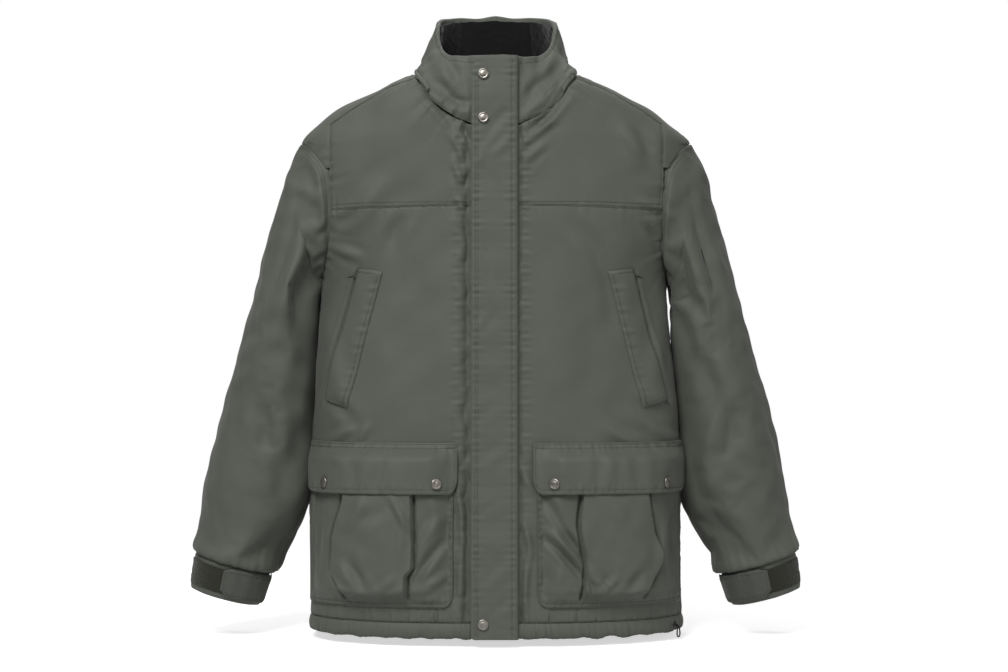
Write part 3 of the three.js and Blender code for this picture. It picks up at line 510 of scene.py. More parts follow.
def metalMaterial(name, colour, roughness, grime=0.45):
    made, tree, shader = startMaterial(name, colour, roughness)
    where = tree.nodes.new("ShaderNodeTexCoord")
    patches = mottled(tree, where, 240.0, grime)
    scratch = addNoise(tree, where.outputs["Object"], 2600.0, 2.0, 0.6)
    tree.links.new(shaded(tree, colour, patches.outputs["Shade"]), shader.inputs["Base Color"])
    scuffed = addMath(tree, "MULTIPLY_ADD", scratch, 0.16, roughness - 0.08)
    rough = addMath(tree, "ADD", scuffed, patches.outputs["Polish"])
    tree.links.new(rough, shader.inputs["Roughness"])
    shader.inputs["Metallic"].default_value = 1.0
    tree.links.new(addBump(tree, scratch, 0.00005, 0.35), shader.inputs["Normal"])
    return made


def plasticMaterial(name, colour, roughness):
    made, tree, shader = startMaterial(name, colour, roughness)
    patches = mottled(tree, tree.nodes.new("ShaderNodeTexCoord"), 90.0, 0.3)
    tree.links.new(shaded(tree, colour, patches.outputs["Shade"]), shader.inputs["Base Color"])
    return made


oliveNylon = clothMaterial("oliveNylon", (90, 93, 85))
pocketCloth = clothMaterial("pocketCloth", (78, 80, 72), threads=900.0, roughness=0.75)
tabCloth = clothMaterial("tabCloth", (80, 83, 76))
zipTapeCloth = clothMaterial("zipTapeCloth", (42, 43, 39), threads=1600.0, roughness=0.8)
hangerTape = clothMaterial("hangerTape", (30, 30, 29), threads=1400.0, roughness=0.85)
blackFleece = pileMaterial("blackFleece", (17, 17, 18), 900.0, 0.0006)
quiltedLining = pileMaterial("quiltedLining", (20, 20, 22), 1500.0, 0.0001, roughness=0.7)
loopPile = pileMaterial("loopPile", (43, 45, 35), 1500.0, 0.0005)
hookField = pileMaterial("hookField", (38, 39, 32), 2200.0, 0.0004, roughness=0.6)
braidedCord = clothMaterial("braidedCord", (34, 34, 31), threads=1500.0, roughness=0.8)
hemLoop.data.materials.append(braidedCord)
threadMaterial = clothMaterial("oliveThread", (76, 79, 70), threads=4000.0, roughness=0.6, mottle=0.3)
agedNickel = metalMaterial("agedNickel", (150, 146, 138), 0.38, grime=0.7)
darkNickel = metalMaterial("darkNickel", (92, 90, 84), 0.42)
mouldedPlastic = plasticMaterial("mouldedPlastic", (50, 51, 46), 0.42)
print("finishes made")

# shaping helpers


def ripples(points, size, seed, count=16, stretch=(1, 1, 1)):
    rng = np.random.default_rng(seed)
    total = np.zeros(points.shape[:-1])
    for _ in range(count):
        way = rng.normal(size=3)
        way *= rng.uniform(0.6, 1.5) * 2 * np.pi / size / np.linalg.norm(way)
        total += np.sin(points @ (way * np.array(stretch)) + rng.uniform(0, 2 * np.pi))
    return total / math.sqrt(count / 2)


def waver(along, size, seed, count=7):
    rng = np.random.default_rng(seed)
    total = np.zeros(np.shape(along))
    for _ in range(count):
        total += np.sin(along * rng.uniform(0.5, 1.7) * 2 * np.pi / size + rng.uniform(0, 2 * np.pi))
    return total / math.sqrt(count / 2)


def folds(u, v, strokes):  # each stroke: from (u, v), to (u, v), bow, width, height
    lift = np.zeros(np.shape(u))
    for fromU, fromV, toU, toV, bow, width, height in strokes:
        span = math.hypot(toU - fromU, toV - fromV)
        du, dv = (toU - fromU) / span, (toV - fromV) / span
        along = ((u - fromU) * du + (v - fromV) * dv) / span
        held = np.clip(along, 0, 1)
        across = (v - fromV) * du - (u - fromU) * dv - bow * 4 * held * (1 - held)
        strength = np.sin(np.pi * (held * 0.84 + 0.08)) ** 0.8 * bell((along - held) * span, width)
        troughs = bell(np.abs(across) - 1.7 * width, 0.9 * width)
        lift += height * strength * (bell(across, width) - 0.4 * troughs)
    return lift


def spaced(span, step, fineLow=(), fineHigh=()):
    even = np.linspace(0, span, max(int(round(span / step)), 2) + 1)
    low, high = np.array(fineLow, float), span - np.array(fineHigh, float)
    keep = even
    if len(low):
        keep = keep[keep > low.max() + step * 0.4]
    if len(high):
        keep = keep[keep < high.min() - step * 0.4]
    return np.unique(np.round(np.concatenate([low, keep, high]), 4)) / span


seamRows = (0, 0.7, 1.5, 2.4, 3.4, 4.6, 6.0, 7.4, 9.0, 11.0, 13.5)


def gridFaces(rows, columns, wrap=False):
    i, j = np.meshgrid(np.arange(rows - 1), np.arange(columns if wrap else columns - 1), indexing="ij")
    k = (j + 1) % columns
    low, high = i * columns, (i + 1) * columns
    return np.stack([low + j, low + k, high + k, high + j], -1).reshape(-1, 4)


def clothUv(points):
    across = np.zeros(points.shape[:2])
    across[:, 1:] = np.cumsum(np.linalg.norm(np.diff(points, axis=1), axis=-1), axis=1)
    up = np.zeros(points.shape[:2])
    up[1:] = np.cumsum(np.linalg.norm(np.diff(points, axis=0), axis=-1), axis=0)
    middle = across[:, across.shape[1] // 2][:, None]
    return np.stack([across - middle, up], -1).reshape(-1, 2) / 1000


def buildMesh(name, points, faces, material, uv=None):
    mesh = bpy.data.meshes.new(name)
    mesh.from_pydata(toFrame(points).tolist(), [], np.asarray(faces).tolist())
    if uv is not None:
        layer = mesh.uv_layers.new(name="cloth")
        corners = np.empty(len(mesh.loops), int)
        mesh.loops.foreach_get("vertex_index", corners)
        layer.data.foreach_set("uv", uv[corners].astype(np.float32).ravel())
    mesh.materials.append(material)
    mesh.polygons.foreach_set("use_smooth", np.ones(len(mesh.polygons), bool))
    made = bpy.data.objects.new(name, mesh)
    scene.collection.objects.link(made)
    return made


def gridPiece(name, points, material):
    faces = gridFaces(*points.shape[:2])
    return buildMesh(name, points.reshape(-1, 3), faces, material, clothUv(points))


def settle(made):  # applies the modifiers and keeps a plain mesh
    graph = bpy.context.evaluated_depsgraph_get()
    plain = bpy.data.meshes.new_from_object(made.evaluated_get(graph), depsgraph=graph)
    old = made.data
    made.modifiers.clear()
    made.data = plain
    plain.name = made.name
    bpy.data.meshes.remove(old)
    return made


def thicken(made, thickness, merge=False):
    if merge:
        weld = made.modifiers.new("weld", "WELD")
        weld.merge_threshold = 0.00002
    wall = made.modifiers.new("wall", "SOLIDIFY")
    wall.thickness = thickness / 1000
    wall.offset = -1
    settle(made)
    made.data.set_sharp_from_angle(angle=math.radians(58))
    return made


def joinGrids(parts):  # each part: points (rows x columns x 3)
    points, faces, uvs, start = [], [], [], 0
    for part in parts:
        rows, columns = part.shape[:2]
        points.append(part.reshape(-1, 3))
        faces.append(gridFaces(rows, columns) + start)
        uvs.append(part.reshape(-1, 3)[:, [0, 2]] / 1000)
        start += rows * columns
    return np.vstack(points), np.vstack(faces), np.vstack(uvs)


def sewn(made, body, slot, *nodes):
    if nodes:
        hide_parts(*nodes)
    if isinstance(body, str):
        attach(made, body)
    else:
        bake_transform(made)
    return made


def paddedPiece(made, body, slot, node):
    sewn(made, body, slot, node)


stitched = {}  # lines of stitching, grouped by the body or the blend that carries them


def faceNormals(points):
    return unit(np.cross(np.gradient(points, axis=1), np.gradient(points, axis=0)))


def stitch(points, body, *routes, normals=None):
    # each route is a list of (rows, columns) runs over the grid, joined end to end
    normals = faceNormals(points) if normals is None else normals
    raised = points + normals * 0.3
    for route in routes:
        runs = [np.atleast_2d(raised[rows, columns]).reshape(-1, 3) for rows, columns in route]
        stitched.setdefault(body, []).append(np.concatenate(runs))


def whole(start, end):
    return slice(start, end)


def cubic(field, at, axis, wrap):
    field = np.moveaxis(field, axis, 0)
    count = len(field)
    first = np.floor(at).astype(int)
    t = (at - first).reshape((-1,) + (1,) * (field.ndim - 1))

    def row(i):
        return field[i % count] if wrap else field[np.clip(i, 0, count - 1)]

    a, b, c, d = row(first - 1), row(first), row(first + 1), row(first + 2)
    value = 0.5 * (2 * b + (c - a) * t + (2 * a - 5 * b + 4 * c - d) * t**2 + (3 * b - a - 3 * c + d) * t**3)
    return np.moveaxis(value, 0, axis)


def runCloth(points, wrap, run):
    # the cloth is cut a little larger than its place and held along its edges, so that it buckles
    rows, columns = points.shape[:2]
    start = toFrame(points)
    mesh = bpy.data.meshes.new("clothRun")
    mesh.from_pydata(start.reshape(-1, 3).tolist(), [], gridFaces(rows, columns, wrap).tolist())
    sheet = bpy.data.objects.new("clothRun", mesh)
    scene.collection.objects.link(sheet)
    index = np.arange(rows * columns).reshape(rows, columns)
    edges = [index[0], index[-1]] if wrap else [index[0], index[-1], index[:, 0], index[:, -1]]
    sheet.vertex_groups.new(name="held").add(np.unique(np.concatenate(edges)).tolist(), 1.0, "REPLACE")
    cloth = sheet.modifiers.new("cloth", "CLOTH")
    cloth.settings.vertex_group_mass = "held"
    cloth.settings.quality = 6
    cloth.settings.mass = 0.2
    cloth.settings.tension_stiffness = 15
    cloth.settings.compression_stiffness = 15
    cloth.settings.shear_stiffness = 5
    cloth.settings.bending_stiffness = run["bending"]
    cloth.settings.shrink_min = -run["extra"]
    cloth.settings.use_pressure = True
    cloth.settings.uniform_pressure_force = run["pressure"]
    cloth.settings.effector_weights.gravity = 0
    cloth.collision_settings.use_self_collision = False
    for i in range(1, run["frames"] + 1):
        scene.frame_set(i)
    graph = bpy.context.evaluated_depsgraph_get()
    ended = np.empty(rows * columns * 3)
    sheet.evaluated_get(graph).data.vertices.foreach_get("co", ended)
    bpy.data.objects.remove(sheet)
    bpy.data.meshes.remove(mesh)
    scene.frame_set(1)
    moved = (ended.reshape(start.shape) - start) * 1000
    far = np.linalg.norm(moved, axis=-1, keepdims=True)
    return moved * np.minimum(1, run["cap"] / np.maximum(far, 1e-6))


# seams: each is a line that the cloth dips to, with small gathers beside it


def makeSeam(points, dip=1.6, spread=5.0, gather=0.7, size=13.0, reach=11.0, seed=1):
    points = np.array(points, float)
    steps = np.linalg.norm(np.diff(points, axis=0), axis=1)
    run = np.concatenate([[0], np.cumsum(steps)])
    count = max(int(run[-1] / 1.5), 2)
    even = np.linspace(0, run[-1], count + 1)
    line = np.stack([np.interp(even, run, points[:, k]) for k in range(3)], -1)
    tree = kdtree.KDTree(len(line))
    for i, p in enumerate(line):
        tree.insert(p, i)
    tree.balance()
    return {
        "line": line,
        "tree": tree,
        "low": line.min(0) - 45,
        "high": line.max(0) + 45,
        "dip": dip,
        "spread": spread,
        "gather": gather,
        "size": size,
        "reach": reach,
        "seed": seed,
        "step": run[-1] / count,
    }


def seamRelief(points, seams):
    flat = points.reshape(-1, 3)
    lift = np.zeros(len(flat))
    for seam in seams:
        near = np.nonzero(np.all((flat > seam["low"]) & (flat < seam["high"]), axis=1))[0]
        distance, along = np.empty(len(near)), np.empty(len(near))
        for k, i in enumerate(near):
            _, index, d = seam["tree"].find(flat[i])
            distance[k], along[k] = d, index * seam["step"]
        dip = -seam["dip"] * (0.6 * np.exp(-distance / seam["spread"]) + 0.4 * bell(distance, 1.3))
        gathers = waver(along, seam["size"], seam["seed"])
        gathers += 0.5 * waver(along, seam["size"] * 0.45, seam["seed"] + 9)
        reach = seam["reach"] * (1 + 0.5 * waver(along, seam["size"] * 1.7, seam["seed"] + 5))
        fade = np.exp(-distance / np.maximum(reach, 3)) * (1 - np.exp(-distance / 1.5))
        lift[near] += dip + seam["gather"] * gathers * fade
    return lift.reshape(points.shape[:-1])


def edgeLine(surface, angles, heights):
    return surface(np.asarray(angles, float), np.asarray(heights, float))


upper = np.linspace(cut["armpit"], cut["shoulder"], 60)
bodyHeights = np.linspace(cut["hemBand"], cut["armpit"], 120)
around = np.linspace(0, 360, 400)


def onBothSides(points):
    return [points, points * np.array([-1, 1, 1])]


def yokeTop(angleOf):  # the height at which a column meets the yoke seam
    top = np.full_like(angleOf(np.array(600.0)), 600.0)
    for _ in range(6):
        top = yokeSeamAt(angleOf(top))
    return top


bodySeams = []
frontYokeAngles = np.linspace(2, float(frontArmhole(598.0)), 80)
for k, line in enumerate(onBothSides(edgeLine(bodyOutside, frontYokeAngles, yokeSeamAt(frontYokeAngles)))):
    bodySeams.append(makeSeam(line, dip=1.1, spread=7, gather=0.45, size=17, reach=8, seed=20 + k))
backYokeAngles = np.linspace(float(backArmhole(600.0)), 360 - float(backArmhole(600.0)), 160)
backYokeLine = edgeLine(bodyOutside, backYokeAngles, np.full(160, 600.0))
bodySeams.append(makeSeam(backYokeLine, dip=1.2, gather=0.5, seed=23))
for k, line in enumerate(onBothSides(edgeLine(bodyOutside, np.full(120, 90.0), bodyHeights))):
    bodySeams.append(makeSeam(line, dip=0.8, gather=0.5, size=20, seed=25 + k))
for k, line in enumerate(onBothSides(edgeLine(bodyOutside, frontArmhole(upper), upper))):
    bodySeams.append(makeSeam(line, dip=0.9, spread=5, gather=1.0, size=22, reach=14, seed=27 + k))
for k, line in enumerate(onBothSides(edgeLine(bodyOutside, backArmhole(upper), upper))):
    bodySeams.append(makeSeam(line, dip=0.9, spread=5, gather=0.9, size=24, reach=14, seed=29 + k))
forward = np.linspace(658, 782, 60)
for k, line in enumerate(onBothSides(edgeLine(bodyOutside, forwardSeam(forward), forward))):
    bodySeams.append(makeSeam(line, dip=1.3, spread=6, gather=0.45, size=19, reach=8, seed=31 + k))
neckLine = edgeLine(bodyOutside, around, neckSeamAt(around))
bodySeams.append(makeSeam(neckLine, dip=3.2, gather=1.3, size=21, reach=16, seed=33))
hemSeam = edgeLine(bodyOutside, around, np.full(400, cut["hemBand"]))
bodySeams.append(makeSeam(hemSeam, dip=2.4, spread=5, gather=1.15, size=15, reach=13, seed=34))

# the slow folds that every layer of the body shares

bodyFolds = {
    "softness": 1.6,
    "strength": 1.6,
    "front": [
        (-100, 768, -42, 700, 0, 6, -3.2),
        (-72, 735, -40, 688, 3, 5, 2.2),
        (-64, 702, -38, 655, 2, 5, 1.9),
        (-60, 664, -38, 628, -2, 5, 1.5),
        (-58, 620, -38, 585, 0, 5, 1.4),
        (-205, 556, -148, 645, 8, 15, 2.4),
        (-150, 545, -128, 590, 3, 11, -2.4),
        (-232, 545, -190, 530, 0, 7, 2.4),
        (-228, 575, -196, 596, 0, 8, -2.2),
        (-60, 560, -66, 300, 6, 24, 1.8),
        (-120, 470, -100, 330, -6, 26, -1.8),
        (-233, 268, -198, 290, 3, 7, 2.6),
        (-192, 272, -178, 296, 0, 7, 2.2),
        (-228, 330, -200, 300, 0, 9, -2.0),
        (-54, 220, -45, 116, 3, 5, 3.0),
        (-45, 120, -47, 50, -2, 5, 2.6),
        (-240, 440, -215, 330, 0, 12, 2.0),
        (102, 764, 48, 702, 0, 6, -3.2),
        (84, 724, 40, 690, -3, 6, 2.2),
        (70, 690, 38, 660, -2, 6, 1.6),
        (196, 712, 219, 676, 3, 9, -3.2),
        (176, 722, 205, 668, 4, 12, 2.6),
        (214, 576, 236, 548, 0, 6, -2.4),
        (206, 610, 232, 600, 0, 6, 2.2),
        (110, 580, 152, 518, 4, 12, -2.4),
        (152, 520, 165, 440, 3, 12, -2.2),
        (158, 292, 200, 270, -3, 8, 2.8),
        (216, 298, 250, 274, -3, 8, 2.6),
        (190, 330, 240, 305, 0, 10, -2.2),
        (34, 232, 52, 206, 0, 6, 2.2),
        (38, 160, 48, 116, 3, 5, 2.8),
        (48, 118, 42, 40, -3, 5, 2.4),
        (90, 470, 84, 330, 4, 26, 1.8),
        (246, 470, 225, 360, 0, 12, 2.0),
    ],
    "back": [
        (-128, 575, -96, 190, 10, 30, 3.0),
        (118, 580, 84, 170, -8, 32, 3.0),
        (0, 520, 6, 90, 0, 34, -2.6),
        (-214, 548, -120, 490, -8, 15, 3.2),
        (216, 540, 124, 478, 8, 15, 3.2),
        (-206, 520, -150, 420, -6, 16, -2.6),
        (206, 516, 152, 410, 6, 16, -2.6),
        (-60, 180, -52, 40, 0, 18, 2.4),
        (70, 190, 76, 40, 0, 18, 2.2),
        (-200, 300, -180, 60, 6, 22, 2.6),
        (196, 320, 178, 60, -6, 22, 2.6),
    ],
}


def slowFolds(points):
    x, y, h = points[..., 0], points[..., 1], points[..., 2]
    lift = bodyFolds["softness"] * ripples(points, 150, 3, stretch=(1, 1, 0.55))
    lift += 0.45 * ripples(points, 46, 4, stretch=(1, 1, 0.6))
    front = ease(-y / 25)
    drawn = front * folds(x, h, bodyFolds["front"]) + (1 - front) * folds(x, h, bodyFolds["back"])
    lift += bodyFolds["strength"] * drawn
    calm = np.where(y < 0, ease((np.abs(x) - 31) / 10), 1)
    return lift * calm


def placketGroove(points):
    x, h = points[..., 0], points[..., 2]
    wandering = 1.2 * waver(h, 60, 41) + 0.4 * waver(h, 22, 42)
    deep = 1 + 0.25 * waver(h, 45, 43)
    right = -3.4 * deep * bell(x + 40 + wandering, 4.6) + 1.7 * deep * bell(x + 52 + 1.5 * wandering, 7)
    left = -2.2 * deep * bell(x - 35, 2.6)
    ticks = 0.55 * waver(h, 15, 44) * (bell(x + 50, 9) + bell(x - 42, 8))
    return np.where(points[..., 1] < 0, right + left + ticks, 0)


# hand-warmer pockets: the slit beside each welt presses a groove into the front

handPocket = {
    "top": 513.0,
    "bottom": 324.0,
    "topX": 158.0,
    "bottomX": 207.0,
    "width": 36.0,
    "slant": 12.0,
    "lift": 1.2,
    "thickness": 3.0,
}


def weltInner(height):
    share = (height - handPocket["bottom"]) / (handPocket["top"] - handPocket["bottom"])
    return mix(handPocket["bottomX"], handPocket["topX"], share)


def slitGroove(points):
    x, h = np.abs(points[..., 0]), points[..., 2]
    middle = weltInner(h) + handPocket["width"] + 1.5
    run = ease((h - handPocket["bottom"] + 4) / 8) * ease((handPocket["top"] + 4 - h) / 8)
    edge = -6.5 * bell(x - middle, 2.4) + 1.4 * bell(x - middle - 7, 3.4) - 0.5 * bell(x - middle - 11, 1.6)
    return np.where(points[..., 1] < 0, edge * run, 0)


# shell panels

shell = {"thickness": 1.8, "step": 2.9, "backStep": 4.2}


def shellLift(base):
    clear = np.where(base[..., 1] < 0, ease((np.abs(base[..., 0]) - cut["openingHalf"] - 4) / 14), 1)
    relief = seamRelief(base, bodySeams)
    relief = np.where(relief > 0, relief * clear, relief)  # the cloth lies flat beside the zip
    return slowFolds(base) + relief + placketGroove(base) + slitGroove(base)


def raiseGrid(angles, heights, surface=bodyOutside, relief=shellLift, extra=0.0):
    base = surface(angles, heights)
    return placeOn(surface, angles, heights, relief(base) + extra)


def mirrorAngles(angles, heights):
    return 360 - angles[:, ::-1], heights[:, ::-1]


def panelGrid(u, v, edges, ends):
    top = ends(u)
    heights = mix(top[0][None, :], top[1][None, :], v[:, None])
    low, high = edges(heights)
    return mix(low, high, u[None, :]), heights


def frontEdges(height):
    outer = np.where(height < armpit, 90.0, frontArmhole(np.maximum(height, armpit)))
    return angleAtX(cut["openingHalf"], height), outer


def frontEnds(u):
    top = yokeTop(lambda h: mix(*frontEdges(h), u))
    return np.full(len(u), cut["hemBand"] + 0.2), top


def underNeck(angleOf, low, high):  # the height at which each column meets the neck seam
    for _ in range(40):
        middle = (low + high) / 2
        inside = middle < neckSeamAt(angleOf(middle))
        low, high = np.where(inside, middle, low), np.where(inside, high, middle)
    return low


def makeShell():
    step = shell["step"]
    across = spaced(382, step, (0, 1, 2.4), seamRows[:8])
    up = spaced(578, step, seamRows, seamRows[:9])
    angles, heights = panelGrid(across, up, frontEdges, frontEnds)
    pairs = [("left", angles, heights), ("right", *mirrorAngles(angles, heights))]
    for side, a, h in pairs:
        points = raiseGrid(a, h)
        stitch(points, "jacket_body", [(3, whole(4, -4))])
        made = gridPiece(f"frontPanel_{side}", points, oliveNylon)
        paddedPiece(thicken(made, shell["thickness"]), "jacket_body", "shell", f"front_panel_{side}")

    def yokeEdges(height):
        return angleAtX(cut["openingHalf"], height), forwardSeam(height)

    def yokeEnds(u):
        bottom = yokeTop(lambda h: mix(*yokeEdges(h), u))
        low, high = np.full(len(u), 640.0), np.full(len(u), 812.0)
        return bottom, underNeck(lambda h: mix(*yokeEdges(h), u), low, high)

    across = spaced(250, step, (0, 1, 2.4), seamRows[:8])
    up = spaced(170, step, seamRows[:9], seamRows[:9])
    angles, heights = panelGrid(across, up, yokeEdges, yokeEnds)
    for side, a, h in [("left", angles, heights), ("right", *mirrorAngles(angles, heights))]:
        points = raiseGrid(a, h, extra=0.55 * bell(h - h[:1], 14))
        outer = -4 if side == "left" else 3
        stitch(points, "jacket_body", [(3, whole(3, -3))], [(7, whole(3, -3))], [(whole(8, -3), outer)])
        made = gridPiece(f"frontYoke_{side}", points, oliveNylon)
        paddedPiece(thicken(made, shell["thickness"]), "jacket_body", "shell", f"front_yoke_{side}")

    def backEdges(height):
        outer = np.where(height < armpit, 90.0, backArmhole(np.maximum(height, armpit)))
        return outer, 360 - outer

    across = spaced(700, shell["backStep"], seamRows[:8], seamRows[:8])
    up = spaced(578, shell["backStep"], seamRows, seamRows[:9])
    ends = (np.full(len(across), cut["hemBand"] + 0.2), np.full(len(across), 599.8))
    angles, heights = panelGrid(across, up, backEdges, lambda u: ends)
    points = raiseGrid(angles, heights)
    stitch(points, "jacket_body", [(3, whole(4, -4))])
    made = gridPiece("backPanel", points, oliveNylon)
    paddedPiece(thicken(made, shell["thickness"]), "jacket_body", "shell", "back_panel")

    # the back yoke wraps over each shoulder, so it is three patches that meet at the shoulder point
    wings = spaced(60, 3.2, seamRows[:6])
    middle = spaced(640, shell["backStep"], seamRows[:5], seamRows[:5])
    rise = spaced(100, shell["backStep"], (), seamRows[:8])
    tip = shoulder

    wing = len(wings)

    def overAngles(heights):
        seamed = forwardSeam(heights)
        centre = np.broadcast_to(mix(90.0, 270.0, middle[1:-1]), (len(heights), len(middle) - 2))
        left = mix(seamed[:, :wing], 90.0, wings)
        right = 360 - mix(seamed[:, -wing:], 90.0, wings[::-1])
        return np.hstack([left, centre, right])

    columnCount = 2 * wing + len(middle) - 2
    low, high = np.full(columnCount, tip), np.full(columnCount, length + 10)
    top = underNeck(lambda h: overAngles(h[None, :])[0], low, high)
    heights = mix(tip, top[None, :], rise[:, None])
    angles = overAngles(heights)
    over = raiseGrid(angles, heights, extra=0.5)

    lowRise = spaced(97, shell["backStep"], seamRows[:9])
    backHeights = np.repeat(mix(600.2, tip, lowRise)[:, None], len(middle), axis=1)
    outer = backArmhole(backHeights)
    outer[-1] = 90.0
    backAngles = mix(outer, 360 - outer, middle[None, :])
    lower = raiseGrid(backAngles, backHeights, extra=0.5)
    stitch(lower, "jacket_body", [(3, whole(3, -3))], [(7, whole(3, -3))])

    wingRise = spaced(38, 3.2, (0, 1, 2.2))
    wingHeights = np.repeat(mix(659.0, tip, wingRise)[:, None], len(wings), axis=1)
    inner, outside = forwardSeam(wingHeights), frontArmhole(wingHeights)
    inner[-1], outside[-1] = float(forwardSeam(np.array(tip))), 90.0
    wingAngles = mix(inner, np.maximum(outside, inner + 0.02), wings[None, :])
    wingLeft = raiseGrid(wingAngles, wingHeights, extra=0.5)
    wingRight = raiseGrid(*mirrorAngles(wingAngles, wingHeights), extra=0.5)
    points, faces, uv = joinGrids([over, lower, wingLeft, wingRight])
    made = buildMesh("backYoke", points, faces, oliveNylon, uv)
    paddedPiece(thicken(made, shell["thickness"], merge=True), "jacket_body", "shell", "back_yoke")


makeShell()
print("shell panels made")

# collar

collar = {
    "columnStep": 2.6,
    "rowStep": 2.8,
    "roll": 3.2,
    "folds": [
        (-106, 776, -50, 716, 0, 6, 2.6),
        (-92, 784, -44, 738, 3, 6, -2.4),
        (-84, 800, -46, 764, 2, 8, 1.8),
        (-60, 800, -46, 740, 0, 7, -1.6),
        (-98, 820, -84, 780, 0, 8, -1.8),
        (104, 790, 40, 728, 0, 6, 2.6),
        (98, 804, 40, 752, -3, 7, -2.6),
        (86, 820, 60, 786, 0, 8, 1.8),
        (64, 815, 48, 760, 3, 7, -1.8),
        (100, 836, 88, 800, 0, 8, -2.0),
    ],
}


def collarAngles(halfWidth, step):
    start = math.degrees(math.atan2(halfWidth, 90))
    return mix(start, 360 - start, spaced(640, step, (0, 1, 2.4), (0, 1, 2.4)))


def makeCollar():
    neckSeam = makeSeam(neckLine, dip=2.6, gather=1.3, size=18, reach=15, seed=51)
    angle = collarAngles(cut["openingHalf"], collar["columnStep"])
    climb = spaced(100, collar["rowStep"], seamRows[:8], (0, 2, 4))
    roll = np.linspace(0, 1, 8)[1:] * math.pi
    climbs = np.concatenate([climb * 0.985 + 0.012, 0.997 + 0.028 * np.sin(roll)])
    rollIn = np.concatenate([0 * climb, -collar["roll"] * (1 - np.cos(roll))])
    drop = [0.975, 0.93]
    climbs = np.concatenate([climbs, drop])
    rollIn = np.concatenate([rollIn, [-2 * collar["roll"] - 0.2, -2 * collar["roll"] - 0.4]])
    angles, rises = np.meshgrid(angle, climbs)
    base = collarOutside(angles, rises)
    x, y, h = base[..., 0], base[..., 1], base[..., 2]
    lift = 1.1 * ripples(base, 70, 52) + 0.5 * ripples(base, 30, 53)
    lift += 1.2 * ease(-y / 25) * folds(x, h, collar["folds"]) + seamRelief(base, [neckSeam])
    ring = waver(angles, 55, 54)
    swell = (1.6 + 0.8 * ring) * bell(rises - 0.13, 0.06)
    lift += swell - (1.5 + 0.7 * ring) * bell(rises - 0.27 - 0.02 * ring, 0.05)
    lift -= 0.8 * bell((1 - rises) * 100 - 9, 1.6) * (rises < 1)  # stitched line under the top edge
    lift += 0.6 * waver(angles, 9, 55) * bell((1 - rises) * 100 - 6, 9)
    fold = np.concatenate([np.ones(len(climb)), np.linspace(1, 0.6, 7), [0.5, 0.4]])
    calm = ease((np.abs(x) - 30) / 12) * (y < 0) + (y >= 0)
    lift = lift * fold[:, None] * np.maximum(calm, 0.15) + rollIn[:, None]
    points = placeOn(collarOutside, angles, rises, lift)
    points[..., 2] += 0.6 * waver(angles, 55, 56) * ease((rises - 0.6) / 0.4)
    top = int(np.argmin(np.abs((1 - climbs[: len(climb)]) * 100 - 9)))
    stitch(points, "jacket_body", [(top, whole(3, -3))], [(4, whole(3, -3))])
    made = gridPiece("collarOuter", points, oliveNylon)
    paddedPiece(thicken(made, 1.4), "jacket_body", "shell", "collar_outer")

    angle = collarAngles(19.0, 3.4)
    climb = mix(0.02, 0.95, spaced(96, 3.2))
    angles, rises = np.meshgrid(angle, climb)
    base = collarOutside(angles, rises)
    quilt = np.zeros(angles.shape)
    for place in (32, 68, 104, 142, 180, 218, 256, 292, 328):
        quilt = np.maximum(quilt, bell((angles - place) * 1.6, 5.0))
    lift = -8.4 - 1.0 * ripples(base, 60, 57) + 1.5 * quilt - 1.6 * np.sin(np.pi * climb)[:, None]
    lift += 0.35 * ripples(base, 9, 58)
    points = placeOn(collarOutside, angles, rises, lift)
    made = gridPiece("collarLining", points, blackFleece)
    paddedPiece(thicken(made, 3.6), "jacket_body", "lining", "collar_lining")

    angle = mix(48, 312, spaced(540, 2.6, (0, 1, 2.4), (0, 1, 2.4)))
    rows = np.array([0, 0.1, 0.22, 0.36, 0.5, 0.64, 0.78, 0.9, 1.0])
    climb = 0.035 + rows * 0.105
    angles, rises = np.meshgrid(angle, climb)
    base = collarOutside(angles, rises)
    lift = 2.6 + 1.9 * np.sin(np.pi * rows)[:, None] ** 0.6 + 0.7 * waver(angles, 12, 59)
    lift = lift + 0.9 * waver(angles, 34, 60)
    points = placeOn(collarOutside, angles, rises, lift)
    made = gridPiece("collarStowWelt", points, oliveNylon)
    sewn(thicken(made, 1.6), "jacket_body", "trim", "collar_stow_welt")


makeCollar()


def makeHanger():
    places = np.linspace(-1, 1, 41)
    widths = np.array([-1, -0.6, 0, 0.6, 1])
    t, w = np.meshgrid(places, widths)
    fall = 1 - t * t
    inside = 88 - 2 - 3 - 4 - 8
    points = np.stack([30 * t, inside - 9 * fall + 0.3 * w, length + 30 - 16 * fall + 3.4 * w], -1)
    made = gridPiece("hangerLoop", points, hangerTape)
    sewn(thicken(made, 1.1), "jacket_body", "tape", "hanger_loop")


makeHanger()
print("collar made")

# lining of the body


